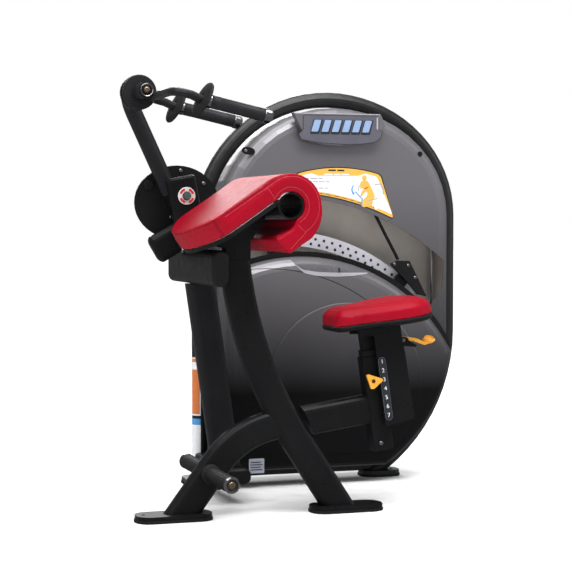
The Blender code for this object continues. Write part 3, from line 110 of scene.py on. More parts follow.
def make_area(name, place, target, size, power, seen=True):
    data = bpy.data.lights.new(name, "AREA")
    data.shape = "RECTANGLE"
    data.size, data.size_y = size
    data.energy = power
    light = bpy.data.objects.new(name, data)
    light.location = place
    light.visible_camera = seen
    light.rotation_euler = (Vector(target) - Vector(place)).to_track_quat("-Z", "Y").to_euler()
    bpy.context.scene.collection.objects.link(light)


def make_light():
    """Soft boxes over a dim room; the room's wall itself is white."""
    bpy.context.scene.view_settings.view_transform = "Standard"
    world = bpy.data.worlds.new("studio")
    world.use_nodes = True
    tree = world.node_tree
    wall = tree.nodes["Background"]
    wall.inputs["Color"].default_value = (1.0, 1.0, 1.0, 1.0)
    wall.inputs["Strength"].default_value = 1.0
    fill = tree.nodes.new("ShaderNodeBackground")
    fill.inputs["Color"].default_value = (0.97, 0.98, 1.0, 1.0)
    fill.inputs["Strength"].default_value = STUDIO_FILL
    path = tree.nodes.new("ShaderNodeLightPath")
    mix = tree.nodes.new("ShaderNodeMixShader")
    tree.links.new(path.outputs["Is Camera Ray"], mix.inputs["Fac"])
    tree.links.new(fill.outputs["Background"], mix.inputs[1])
    tree.links.new(wall.outputs["Background"], mix.inputs[2])
    tree.links.new(mix.outputs["Shader"], tree.nodes["World Output"].inputs["Surface"])
    bpy.context.scene.world = world
    sky = bpy.data.lights.new("sky", "SUN")
    sky.energy = SKY_POWER
    sky.angle = SKY_SPREAD
    lamp = bpy.data.objects.new("sky", sky)
    lamp.rotation_euler = (math.radians(14), math.radians(-10), 0)
    bpy.context.scene.collection.objects.link(lamp)
    make_area("key_left", (-3.0, -1.7, 2.3), (0.0, 0.0, 0.75), (0.7, 2.0), 9)
    make_area("right_strip", (2.9, -1.2, 1.7), (0.3, 0.0, 0.7), (0.6, 2.2), 10)
    make_area("front_fill", (0.8, -4.6, 2.6), (0.1, 0.0, 0.7), (4.0, 2.4), 13)
    make_area("back_box", (0.55, 4.6, 3.15), (0.1, 0.0, 0.8), (2.5, 2.9), 150, seen=False)
    make_area("overhead", (0.3, -1.3, 3.5), (0.3, 0.3, 1.0), (2.6, 1.2), 75, seen=False)


def make_floor(material):
    bpy.ops.mesh.primitive_plane_add(size=60, location=(0, 10, 0))
    floor = bpy.context.active_object
    floor.name = "floor"
    floor.visible_glossy = False
    floor.data.materials.append(material)


# ---------------------------------------------------------------- materials

class Surface:
    """A Principled material whose colour, roughness and relief come from textures in metres."""

    def __init__(self, name, colour, roughness, metallic=0.0, specular=0.5, coat=0.0, coat_roughness=0.1):
        self.material = bpy.data.materials.new(name)
        self.material.use_nodes = True
        self.tree = self.material.node_tree
        self.shader = self.tree.nodes["Principled BSDF"]
        self.shader.inputs["Base Color"].default_value = (*colour, 1.0)
        self.shader.inputs["Roughness"].default_value = roughness
        self.shader.inputs["Metallic"].default_value = metallic
        self.shader.inputs["Specular IOR Level"].default_value = specular
        self.shader.inputs["Coat Weight"].default_value = coat
        self.shader.inputs["Coat Roughness"].default_value = coat_roughness
        self.coordinates = self.tree.nodes.new("ShaderNodeTexCoord").outputs["Object"]
        self.normal = None

    def noise(self, scale, detail=3.0):
        node = self.tree.nodes.new("ShaderNodeTexNoise")
        node.inputs["Scale"].default_value = scale
        node.inputs["Detail"].default_value = detail
        self.tree.links.new(self.coordinates, node.inputs["Vector"])
        return node.outputs["Fac"]

    def cells(self, scale, feature="F1"):
        node = self.tree.nodes.new("ShaderNodeTexVoronoi")
        node.feature = feature
        node.inputs["Scale"].default_value = scale
        self.tree.links.new(self.coordinates, node.inputs["Vector"])
        return node.outputs["Distance"]

    def ramp(self, source, low, high, start=0.3, end=0.7):
        node = self.tree.nodes.new("ShaderNodeMapRange")
        node.inputs["From Min"].default_value = start
        node.inputs["From Max"].default_value = end
        node.inputs["To Min"].default_value = low
        node.inputs["To Max"].default_value = high
        self.tree.links.new(source, node.inputs["Value"])
        return node.outputs["Result"]

    def vary_roughness(self, source, low, high):
        self.tree.links.new(self.ramp(source, low, high), self.shader.inputs["Roughness"])

    def vary_colour(self, source, first, second, start=0.3, end=0.7):
        mix = self.tree.nodes.new("ShaderNodeMix")
        mix.data_type = "RGBA"
        mix.inputs["A"].default_value = (*first, 1.0)
        mix.inputs["B"].default_value = (*second, 1.0)
        self.tree.links.new(self.ramp(source, 0.0, 1.0, start, end), mix.inputs["Factor"])
        self.tree.links.new(mix.outputs["Result"], self.shader.inputs["Base Color"])

    def relief(self, source, depth, strength):
        bump = self.tree.nodes.new("ShaderNodeBump")
        bump.inputs["Distance"].default_value = depth
        bump.inputs["Strength"].default_value = strength
        self.tree.links.new(source, bump.inputs["Height"])
        if self.normal is not None:
            self.tree.links.new(self.normal, bump.inputs["Normal"])
        self.normal = bump.outputs["Normal"]
        self.tree.links.new(self.normal, self.shader.inputs["Normal"])

    def height(self):
        """Height above the floor, in metres."""
        split = self.tree.nodes.new("ShaderNodeSeparateXYZ")
        self.tree.links.new(self.coordinates, split.inputs["Vector"])
        return split.outputs["Z"]


def powder_coat(name, colour, roughness, specular=0.12):
    surface = Surface(name, colour, roughness, specular=specular, coat=0.02, coat_roughness=0.2)
    lighter = tuple(c * 1.25 + 0.001 for c in colour)
    surface.vary_colour(surface.noise(7.0), colour, lighter)
    surface.vary_roughness(surface.noise(38.0), roughness - 0.05, roughness + 0.06)
    surface.relief(surface.noise(1500.0, 1.0), 0.00012, 0.35)
    return surface.material


def moulded_plastic(name, colour, roughness, grain=900.0, depth=0.00010, specular=0.22):
    surface = Surface(name, colour, roughness, specular=specular)
    surface.vary_colour(surface.noise(11.0), colour, tuple(c * 1.18 + 0.001 for c in colour))
    surface.vary_roughness(surface.noise(60.0), roughness - 0.05, roughness + 0.05)
    surface.relief(surface.cells(grain), depth, 0.4)
    return surface.material


def shroud_metal(name, painted_shade_colour, unshaded_colour, roughness=0.36):
    """Warm grey metallic lacquer with painted shade: its colour darkens towards the floor."""
    surface = Surface(
        name, unshaded_colour, roughness, metallic=0.55, specular=0.22, coat=0.07, coat_roughness=0.22
    )
    # Painted shade: the colour falls from the lacquer's grey up high to near black by the floor.
    surface.vary_colour(surface.height(), painted_shade_colour, unshaded_colour, 0.30, 0.98)
    surface.vary_roughness(surface.noise(900.0, 2.0), roughness - 0.06, roughness + 0.08)
    surface.relief(surface.noise(2600.0, 1.0), 0.00006, 0.3)
    return surface.material


def vinyl(name, colour, deeper):
    surface = Surface(name, colour, 0.45, specular=0.11)
    surface.vary_colour(surface.noise(9.0), deeper, colour, 0.25, 0.6)
    surface.vary_roughness(surface.noise(55.0), 0.44, 0.52)
    surface.relief(surface.cells(620.0, "DISTANCE_TO_EDGE"), 0.00014, 0.22)
    surface.relief(surface.noise(60.0), 0.0003, 0.06)
    return surface.material


def bright_metal(name, colour, roughness):
    surface = Surface(name, colour, roughness, metallic=1.0)
    surface.vary_roughness(surface.noise(300.0, 2.0), roughness * 0.7, roughness * 1.5)
    surface.relief(surface.noise(1200.0, 2.0), 0.00003, 0.2)
    return surface.material


def black_rubber(name, colour, roughness=0.62):
    surface = Surface(name, colour, roughness, specular=0.15)
    surface.vary_colour(surface.noise(25.0), colour, tuple(c * 1.5 for c in colour))
    surface.vary_roughness(surface.noise(140.0), roughness - 0.07, roughness + 0.07)
    surface.relief(surface.noise(1900.0, 1.0), 0.00015, 0.4)
    return surface.material


def print_ink(name, colour, roughness=0.35):
    surface = Surface(name, colour, roughness, specular=0.5, coat=0.2, coat_roughness=0.15)
    surface.vary_colour(surface.noise(60.0), colour, tuple(c * 0.94 for c in colour))
    surface.relief(surface.noise(700.0, 1.0), 0.00002, 0.2)
    return surface.material


M = {
    "frame": powder_coat("frame_coat", (0.0066, 0.0067, 0.0073), 0.32),
    "ring": powder_coat("ring_coat", (0.0090, 0.0090, 0.0096), 0.38, 0.46),
    "beam": powder_coat("beam_coat", (0.0110, 0.0110, 0.0118), 0.45, 0.14),
    # A lighter copy of the black powder coat: its extra tone is painted light standing in for the highlights
    # on the mast and arm.
    "mast": powder_coat("mast_coat_painted_light", (0.0130, 0.0130, 0.0145), 0.34, 0.16),
    "plastic": moulded_plastic("black_moulding", (0.0085, 0.0085, 0.0090), 0.40, specular=0.14),
    "rubber": black_rubber("black_rubber", (0.010, 0.010, 0.0105)),
    "chrome": bright_metal("dark_chrome", (0.30, 0.30, 0.31), 0.12),
    "steel": bright_metal("turned_steel", (0.30, 0.30, 0.31), 0.26),
    "vinyl": vinyl("red_vinyl", (0.305, 0.0004, 0.0120), (0.280, 0.0003, 0.0105)),
    "welt": vinyl("red_welt", (0.190, 0.0010, 0.008), (0.160, 0.0008, 0.006)),
    # Paler than the vinyl: red thread plus a painted highlight along the stitched edges.
    "thread": print_ink("red_thread_painted_highlight", (0.50, 0.055, 0.075), 0.6),
    "board": moulded_plastic("pad_board", (0.006, 0.006, 0.006), 0.5),
    # The shrouds and the bulge carry painted shade: the first colour is the dark by the floor, the second
    # their grey up high.
    "shroud": shroud_metal("shroud_lacquer_painted_shade", (0.016, 0.0155, 0.0165), (0.190, 0.184, 0.197)),
    "bulge": shroud_metal("bulge_lacquer_painted_shade", (0.0080, 0.0077, 0.0088), (0.330, 0.318, 0.336), 0.34),
    # Olive grey lifted well above the lining's own tone: painted light for the deep, dim window.
    "olive": moulded_plastic("olive_lining_painted_light", (0.500, 0.470, 0.430), 0.55),
    "selector": moulded_plastic("selector_plate", (0.440, 0.436, 0.480), 0.32),
    "lens": moulded_plastic("lens_plastic", (0.095, 0.093, 0.102), 0.26),
    "crescent": moulded_plastic("lens_edge", (0.320, 0.316, 0.344), 0.26),
    "white": moulded_plastic("white_moulding", (0.62, 0.62, 0.63), 0.35),
    "orange": moulded_plastic("yellow_moulding", (0.78, 0.36, 0.040), 0.34),
    "iron": moulded_plastic("cast_iron", (0.012, 0.012, 0.0125), 0.6, 420.0, 0.0004),
    "slate": print_ink("slate_print", (0.017, 0.020, 0.028), 0.40),
    "slate_edge": print_ink("slate_edge_print", (0.110, 0.120, 0.145), 0.32),
    "ink_white": print_ink("white_print", (0.84, 0.85, 0.87)),
    "ink_grey": print_ink("grey_print", (0.34, 0.36, 0.42)),
    "ink_black": print_ink("black_print", (0.010, 0.010, 0.012)),
    "ink_orange": print_ink("amber_print", (0.84, 0.45, 0.075)),
    "ink_blue": print_ink("blue_print", (0.060, 0.33, 0.70)),
    "ink_red": print_ink("red_print", (0.60, 0.030, 0.020)),
    "rod": bright_metal("guide_rod_chrome", (0.72, 0.72, 0.73), 0.16),
    "badge": moulded_plastic("badge_backing", (0.092, 0.092, 0.114), 0.34),
    "badge_bar": moulded_plastic("badge_silver", (0.230, 0.330, 0.510), 0.25),
    "bolt_brown": powder_coat("burnt_bolt", (0.080, 0.014, 0.006), 0.35),
    "bronze": bright_metal("bronze_bolt", (0.34, 0.24, 0.16), 0.28),
    # Also painted shade where it stands for the selector's holes.
    "hole": moulded_plastic("stud_black_and_hole_shade", (0.020, 0.020, 0.022), 0.35),
    "gap": moulded_plastic("shadow_gap", (0.004, 0.004, 0.004), 0.6),
    "label_orange": print_ink("label_orange", (0.68, 0.18, 0.035)),
    "grip": black_rubber("grip_rubber", (0.014, 0.014, 0.0155), 0.46),
    "floor": moulded_plastic("pale_floor", (0.90, 0.90, 0.90), 0.70, 60.0, 0.0),
}

FINISH = {
    "frame": [
        "front_leg", "brace_leg", "upper_mast", "base_beam", "foot_peg_bar",
        "pad_support", "seat_beam", "seat_post", "seat_carriage", "seat_tube", "swing_arm",
    ],
    "beam": ["cross_beam", "cross_beam_cap"],
    "mast": ["lower_mast", "arm_tube", "handle_yoke"],
    # These parts take the lighter coat, whose extra tone is painted light.
    "ring": ["tower_ring", "tower_spine"],
    "plastic": [
        "base_beam_cap", "mast_cap", "cam_disc", "post_bushing", "bulge_rim",
        "belt_bracket", "belt_pulley", "hub_bolt",
    ],
    "rubber": [
        "brace_foot", "front_foot", "tower_foot_left", "tower_foot_right", "foot_peg_sleeve_near",
        "foot_peg_sleeve_far", "arm_bumper", "hand_guard_near", "hand_guard_far", "grip_near", "grip_far",
        "drive_belt",
    ],
    "chrome": ["foot_peg_cap_near", "foot_peg_cap_far", "grip_cap_near", "grip_cap_far"],
    "steel": ["pivot_shaft", "latch_pin", "swing_axle"],
    "rod": ["guide_rod"],
    "board": ["pad_board", "seat_board"],
    "shroud": ["front_shroud", "rear_shroud", "badge_box"],
    "bulge": ["lower_bulge", "bulge_cover"],
    "selector": ["selector_arc"],
    "white": ["pivot_cap"],
    "orange": ["height_pointer", "seat_lever"],
    "iron": ["weight_plates"],
}


def dress_frame():
    for finish, names in FINISH.items():
        for name in names:
            node = NODES[name]
            node.data.materials.clear()
            node.data.materials.append(M[finish])


# ---------------------------------------------------------------- mesh helpers

def smooth_mesh(name, builder, angle):
    bmesh.ops.recalc_face_normals(builder, faces=builder.faces)
    mesh = bpy.data.meshes.new(name)
    builder.to_mesh(mesh)
    builder.free()
    mesh.shade_smooth()
    mesh.set_sharp_from_angle(angle=math.radians(angle))
    return mesh


def add_piece(name, mesh, material, body):
    piece = bpy.data.objects.new(name, mesh)
    bpy.context.scene.collection.objects.link(piece)
    mesh.materials.clear()
    mesh.materials.append(material)
    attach(piece, body)
    return piece


def loft(name, bodies, material, body, wrap=False, angle=35.0):
    """One piece of one or more lofted bodies; each is a list of loops of equal count."""
    builder = bmesh.new()
    for rings in bodies:
        loops = [[builder.verts.new(p) for p in ring] for ring in rings]
        pairs = list(zip(loops, loops[1:])) + ([(loops[-1], loops[0])] if wrap else [])
        for first, second in pairs:
            for index in range(len(first)):
                following = (index + 1) % len(first)
                builder.faces.new((first[index], first[following], second[following], second[index]))
        if not wrap:
            builder.faces.new(loops[0][::-1])
            builder.faces.new(loops[-1])
    return add_piece(name, smooth_mesh(name, builder, angle), material, body)


def tube_rings(points, radius, sides, closed=False):
    points = [Vector(p) for p in points]
    count = len(points)
    normal = None
    rings = []
    for index, point in enumerate(points):
        before = points[index - 1] if index or closed else point
        after = points[(index + 1) % count] if index < count - 1 or closed else point
        along = (after - before).normalized()
        if normal is None:
            normal = along.orthogonal()
        normal = (normal - along * normal.dot(along)).normalized()
        other = along.cross(normal)
        steps = [2 * math.pi * k / sides for k in range(sides)]
        rings.append([point + (normal * math.cos(t) + other * math.sin(t)) * radius for t in steps])
    return rings


def turned_rings(profile, centre, axis, steps):
    axis = Vector(axis).normalized()
    first = axis.orthogonal().normalized()
    second = axis.cross(first)
    rings = []
    for radius, height in profile:
        base = Vector(centre) + axis * height
        turns = [2 * math.pi * k / steps for k in range(steps)]
        rings.append([base + (first * math.cos(t) + second * math.sin(t)) * radius for t in turns])
    return rings


def screw_rings(centre, axis, radius, height, socket=0.5):
    """A domed screw head with a hexagonal socket."""
    axis = Vector(axis).normalized()
    first = axis.orthogonal().normalized()
    second = axis.cross(first)
    rings = []
    shape = [
        (1.0, 0.0, False), (1.0, 0.35, False), (0.90, 0.75, False), (0.70, 1.0, False),
        (socket, 1.0, True), (socket * 0.92, 0.45, True), (socket * 0.35, 0.40, True),
    ]
    for share, lift, hexagon in shape:
        ring = []
        for step in range(24):
            turn = 2 * math.pi * step / 24
            reach = radius * share
            if hexagon:
                reach *= math.cos(math.pi / 6) / math.cos(turn % (math.pi / 3) - math.pi / 6)
            spot = Vector(centre) + axis * (height * lift)
            ring.append(spot + (first * math.cos(turn) + second * math.sin(turn)) * reach)
        rings.append(ring)
    return rings


def inset(points, distance):
    area = sum(a[0] * b[1] - b[0] * a[1] for a, b in zip(points, points[1:] + points[:1]))
    turn = 1 if area > 0 else -1
    moved = []
    for index, point in enumerate(points):
        here = Vector(point)
        first = (here - Vector(points[index - 1])).normalized()
        second = (Vector(points[(index + 1) % len(points)]) - here).normalized()
        normal_a = Vector((-first.y, first.x)) * turn
        normal_b = Vector((-second.y, second.x)) * turn
        share = distance / max(0.3, 1 + normal_a.dot(normal_b))
        moved.append(tuple(here + (normal_a + normal_b) * share))
    return moved


def rounded(points, radius, steps=5):
    """The outline with each corner replaced by a short curve."""
    made = []
    for index, point in enumerate(points):
        here = Vector(point)
        before, after = Vector(points[index - 1]), Vector(points[(index + 1) % len(points)])
        if (here - before).angle(after - here, 0.0) < math.radians(18):
            made.append(tuple(here))
            continue
        start = here + (before - here).normalized() * min(radius, (before - here).length * 0.45)
        end = here + (after - here).normalized() * min(radius, (after - here).length * 0.45)
        for step in range(steps + 1):
            t = step / steps
            made.append(tuple(start * (1 - t) ** 2 + here * (2 * t * (1 - t)) + end * t * t))
    return made


def plate_rings(outline, front, thick, place, edge):
    """A flat plate whose face is at Y = front, with a small chamfer round it."""
    small = inset(outline, edge)
    layers = [(outline, front + thick), (outline, front + edge), (small, front)]
    return [[place(a, y, b) for a, b in loop] for loop, y in layers]


def plate(name, outline, front, thick, material, body="frame", place=at, edge=0.0003):
    return loft(name, [plate_rings(outline, front, thick, place, edge)], material, body, angle=25.0)


def arc(centre, radius, start, end, steps):
    turns = [start + (end - start) * k / steps for k in range(steps + 1)]
    return [(centre[0] + radius * math.cos(t), centre[1] + radius * math.sin(t)) for t in turns]


def stadium(a_low, a_high, b_low, b_high, steps=8):
    radius = min(a_high - a_low, b_high - b_low) / 2
    corners = [
        (a_high - radius, b_high - radius, 0), (a_low + radius, b_high - radius, 1),
        (a_low + radius, b_low + radius, 2), (a_high - radius, b_low + radius, 3),
    ]
    made = []
    for a, b, quarter in corners:
        made += arc((a, b), radius, quarter * math.pi / 2, (quarter + 1) * math.pi / 2, steps)
    return [p for k, p in enumerate(made) if (Vector(p) - Vector(made[k - 1])).length > 1e-6]


def surface_of(piece):
    depsgraph = bpy.context.evaluated_depsgraph_get()
    return BVHTree.FromObject(piece, depsgraph)


def apply_modifiers(piece):
    depsgraph = bpy.context.evaluated_depsgraph_get()
    mesh = bpy.data.meshes.new_from_object(piece.evaluated_get(depsgraph))
    piece.modifiers.clear()
    piece.data = mesh


# ---------------------------------------------------------------- upholstery

def inflate(pad, pinned, cap):
    """Swells a pad by cloth, by cap at most; pinned(point) says what the board holds still."""
    rest = [vertex.co.copy() for vertex in pad.data.vertices]
    group = pad.vertex_groups.new(name="held")
    group.add([i for i, point in enumerate(rest) if pinned(point)], 1.0, "REPLACE")
    cloth = pad.modifiers.new("foam", "CLOTH")
    cloth.settings.quality = 5
    cloth.settings.mass = 0.25
    cloth.settings.tension_stiffness = 18
    cloth.settings.compression_stiffness = 18
    cloth.settings.bending_stiffness = 2.0
    cloth.settings.use_pressure = True
    cloth.settings.uniform_pressure_force = PAD_PRESSURE
    cloth.settings.effector_weights.gravity = 0.0
    cloth.settings.vertex_group_mass = "held"
    for number in range(1, SWELL_FRAMES + 1):
        bpy.context.scene.frame_set(number)
    apply_modifiers(pad)
    bpy.context.scene.frame_set(1)
    for vertex, point in zip(pad.data.vertices, rest):
        moved = vertex.co - point
        if moved.length > cap:
            vertex.co = point + moved * (cap / moved.length)


def soften(pad, rounds):
    builder = bmesh.new()
    builder.from_mesh(pad.data)
    for _ in range(rounds):
        bmesh.ops.smooth_vert(
            builder, verts=builder.verts, factor=0.5, use_axis_x=True, use_axis_y=True, use_axis_z=True
        )
    builder.to_mesh(pad.data)
    builder.free()


def push(pad, amount):
    """Moves every vertex along its normal by amount(point)."""
    builder = bmesh.new()
    builder.from_mesh(pad.data)
    builder.normal_update()
    shifts = [vertex.normal * amount(vertex.co) for vertex in builder.verts]
    for vertex, shift in zip(builder.verts, shifts):
        vertex.co += shift
    builder.to_mesh(pad.data)
    builder.free()


def sew(pad, lines, depth, reach):
    """Draws the surface in along stitched lines."""
    points = [p for line in lines for p in line]
    tree = KDTree(len(points))
    for index, point in enumerate(points):
        tree.insert(point, index)
    tree.balance()

    def pull(point):
        distance = tree.find(point)[2]
        return 0.0 if distance > reach else -depth * (1 - (distance / reach) ** 2) ** 2

    push(pad, pull)


def on_surface(tree, points, lift):
    """Each point's nearest place on the surface, moved out by lift."""
    found = []
    for point in points:
        place, normal, _, _ = tree.find_nearest(point)
        found.append(place + normal * lift)
    return found


def spread(points, step=0.004):
    """The polyline with points no more than step apart."""
    made = [Vector(points[0])]
    for start, end in zip(points, points[1:]):
        start, end = Vector(start), Vector(end)
        count = max(1, math.ceil((end - start).length / step))
        made += [start.lerp(end, k / count) for k in range(1, count + 1)]
    return made


def make_pad(name, node, pinned, voxel, cap):
    """A finer copy of a CAD cushion: drawn in a little, swollen, and smoothed."""
    pad = bpy.data.objects.new(name, NODES[node].data.copy())
    bpy.context.scene.collection.objects.link(pad)
    remesh = pad.modifiers.new("voxels", "REMESH")
    remesh.mode = "VOXEL"
    remesh.voxel_size = voxel
    apply_modifiers(pad)
    soften(pad, PAD_SMOOTHING)
    push(pad, lambda point: -PAD_SHRINK)
    inflate(pad, pinned, cap)
    divide = pad.modifiers.new("finer", "SUBSURF")
    divide.levels = divide.render_levels = 1
    apply_modifiers(pad)
    soften(pad, 1)
    pad.data.shade_smooth()
    pad.data.materials.clear()
    pad.data.materials.append(M["vinyl"])
    return pad


def finish_pad(pad, node, body):
    pad.visible_glossy = False
    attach(pad, body)
    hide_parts(node)


def make_elbow_pad():
    cos, sin = math.cos(PAD_TILT), math.sin(PAD_TILT)
    under = ROLL_RADIUS - SLAB_THICK

    def pinned(point):
        x, z = point.x - ORIGIN.x - ROLL.x, point.z - ROLL.y
        along, up = x * cos + z * sin, -x * sin + z * cos
        held_by_board = along < -0.02 and 0 < up < under + 0.007
        return held_by_board or math.hypot(along, up) < ROLL_HOLE + 0.004

    pad = make_pad("elbow_pad_cover", "elbow_pad", pinned, voxel=0.0045, cap=0.0016)
    tree = surface_of(pad)
    stitch_top = ROLL_RADIUS - 0.009
    seams, corner_lines, top = [], [], []
    for side in (-1, 1):
        y = side * (PAD_HALF + 0.004)
        outer = [(SLAB_CORNER + 0.035, stitch_top), (0.0, stitch_top)]
        outer += arc((0, 0), stitch_top, math.pi / 2, -math.pi / 2, 40)
        outer += [(-WRAP_END, -ROLL_FOOT_RADIUS + 0.010)]
        inner = arc((0, 0), ROLL_HOLE + 0.012, math.radians(130), math.radians(-95), 36)
        radial = [(-0.029, 0.083), (-0.029, 0.046)]
        lower = [(-0.006, -0.086), (-0.014, -0.054)]
        for line in (outer, inner, radial, lower):
            seams.append(on_surface(tree, spread([pad_at(a, y, up) for a, up in line]), 0.0))
        fold = [pad_at(SLAB_CORNER - 0.003, side * (PAD_HALF - 0.004), up) for up in (0.086, 0.036)]
        corner_lines.append(on_surface(tree, spread(fold), 0.0))
        edge = spread([pad_at(a, side * PAD_HALF, ROLL_RADIUS) for a in (0.01, SLAB_CORNER + 0.03)])
        top.append(edge if side < 0 else edge[::-1])
    bow = []
    for step in range(41):
        y = -1 + step / 20
        along = SLAB_NOSE + (SLAB_CORNER - SLAB_NOSE) * y * y
        bow.append(pad_at(along, y * (PAD_HALF - 0.010), ROLL_RADIUS))
    welt = on_surface(tree, top[0] + bow + top[1], 0.0002)
    sew(pad, seams, 0.0009, 0.006)
    sew(pad, corner_lines, 0.0028, 0.010)
    tree = surface_of(pad)
    finish_pad(pad, "elbow_pad", "frame")
    stitched = [tube_rings(on_surface(tree, line, 0.0001), 0.0005, 6) for line in seams]
    # The stitches' paler red is partly a painted highlight on the seam edges.
    loft("elbow_pad_seams", stitched, M["thread"], "frame")
    folds = [tube_rings(on_surface(tree, line, 0.0), 0.0010, 6) for line in corner_lines]
    loft("elbow_pad_corner_folds", folds, M["welt"], "frame")
    loft("elbow_pad_welt", [tube_rings(welt, 0.0013, 8)], M["welt"], "frame")


def make_seat_cushion():
    cos, sin = math.cos(SEAT_TILT), math.sin(SEAT_TILT)

    def pinned(point):
        x, z = point.x - ORIGIN.x - SEAT_ORIGIN.x, point.z - SEAT_ORIGIN.z
        return -x * sin + z * cos < SEAT_BASE + 0.006

    cushion = make_pad("seat_cushion_cover", "seat_cushion", pinned, voxel=0.004, cap=0.0014)
    finish_pad(cushion, "seat_cushion", "seat")


# ---------------------------------------------------------------- prints and small parts

def bars(rows, front, thick, place=at):
    """Short flat bars that stand for lines of print: rows holds (a, b, length, height)."""
    made = []
    for a, b, length, height in rows:
        outline = [(a, b), (a + length, b), (a + length, b + height), (a, b + height)]
        made.append(plate_rings(outline, front, thick, place, 0.00005))
    return made


def bend(start, corner, end, steps=6):
    """A smooth turn from start to end that leans towards the corner."""
    made = []
    for step in range(1, steps):
        t = step / steps
        made.append(tuple(
            (1 - t) ** 2 * p + 2 * t * (1 - t) * q + t * t * r for p, q, r in zip(start, corner, end)
        ))
    return made


def placard_outline(shrink, corner):
    """The placard's two arcs and straight sides, drawn in by shrink, with round corners."""
    low_centre, low_radius = (0.160, 0.085), 0.862 + shrink
    high_centre, high_radius = (0.340, 0.523), 0.510 - shrink
    low_ends = (math.radians(89.0) - shrink / low_radius, math.radians(64.2) + shrink / low_radius)
    high_ends = (math.radians(72.9) + shrink / high_radius, math.radians(107.1) - shrink / high_radius)
    trim_low, trim_high = corner / low_radius, corner / high_radius
    low = arc(low_centre, low_radius, low_ends[0] - trim_low, low_ends[1] + trim_low, 30)
    high = arc(high_centre, high_radius, high_ends[0] + trim_high, high_ends[1] - trim_high, 30)
    corners = [arc(low_centre, low_radius, turn, turn, 1)[0] for turn in low_ends]
    corners += [arc(high_centre, high_radius, turn, turn, 1)[0] for turn in high_ends]

    def along(start, end):
        way = Vector(end) - Vector(start)
        return tuple(Vector(start) + way.normalized() * corner)

    left_low, right_low, right_high, left_high = corners
    outline = low + bend(low[-1], right_low, along(right_low, right_high))
    outline += [along(right_low, right_high), along(right_high, right_low)]
    outline += bend(along(right_high, right_low), right_high, high[0]) + high
    outline += bend(high[-1], left_high, along(left_high, left_low))
    outline += [along(left_high, left_low), along(left_low, left_high)]
    return outline + bend(along(left_low, left_high), left_low, low[0])


def beside(a, y, b):
    """A point of the placard, which sits a little to the right of its drawing."""
    return at(a + 0.004, y, b)


def words(a, b, lengths, height=0.0032, space=0.0040):
    """One line of stand-in print: short bars of the given lengths."""
    made = []
    for length in lengths:
        made.append((a, b, length, height))
        a += length + space
    return made


def make_placard():
    layers = [
        ("placard_base", 0.0, 0.014, 0.4990, "ink_black"),
        ("placard_border", 0.0032, 0.012, 0.4986, "ink_orange"),
        ("placard_panel", 0.0125, 0.008, 0.4982, "ink_white"),
    ]
    for name, shrink, corner, front, ink in layers:
        plate(name, placard_outline(shrink, corner), front, 0.0003, M[ink], place=beside, edge=0.0001)
    tab = arc((0.340, 0.523), 0.4990, math.radians(79.0), math.radians(101.0), 16)
    tab += [(0.2680, 1.0045), (0.4080, 1.0045)]
    plate("placard_tab", tab, 0.49805, 0.0005, M["ink_orange"], place=beside, edge=0.0001)
    rows = words(0.226, 0.9935, (0.013, 0.024, 0.014))
    rows += words(0.226, 0.9830, (0.010, 0.008, 0.017, 0.019, 0.013))
    rows += words(0.243, 0.9625, (0.012, 0.009, 0.016, 0.011))
    loft("placard_lines", bars(rows, 0.4980, 0.0004, beside), M["ink_grey"], "frame")
    title = words(0.305, 1.0195, (0.026, 0.024), 0.0050, 0.0050)
    loft("placard_title_marks", bars(title, 0.4980, 0.0004, beside), M["ink_black"], "frame")
    under = words(0.290, 1.0075, (0.030, 0.022, 0.026), 0.0036, 0.0044)
    loft("placard_tab_marks", bars(under, 0.4976, 0.0004, beside), M["ink_white"], "frame")
    strip, radius, tall = [], 0.8697, 0.0012
    for step in range(26):
        turn = math.radians(84.5 - step * 0.62)
        spot = (0.160 + radius * math.cos(turn), 0.085 + radius * math.sin(turn))
        along, across = Vector((math.sin(turn), -math.cos(turn))), Vector((math.cos(turn), math.sin(turn)))
        width = 0.0034 + 0.0018 * math.sin(step * 2.1)
        corners = [(-width, -tall), (width, -tall), (width, tall), (-width, tall)]
        loop = [tuple(Vector(spot) + along * a + across * b) for a, b in corners]
        strip.append(plate_rings(loop, 0.4984, 0.0003, beside, 0.00005))
    loft("placard_edge_marks", strip, M["ink_black"], "frame")
    make_pictogram()


def blob(centre, wide, high, tilt=0.0, *, squareness, steps=28):
    """An oval outline; the higher the squareness, the squarer it is."""
    cos, sin = math.cos(tilt), math.sin(tilt)
    made = []
    for step in range(steps):
        t = 2 * math.pi * step / steps
        a = wide * math.copysign(abs(math.cos(t)) ** (2 / squareness), math.cos(t))
        b = high * math.copysign(abs(math.sin(t)) ** (2 / squareness), math.sin(t))
        made.append((centre[0] + a * cos - b * sin, centre[1] + a * sin + b * cos))
    return made


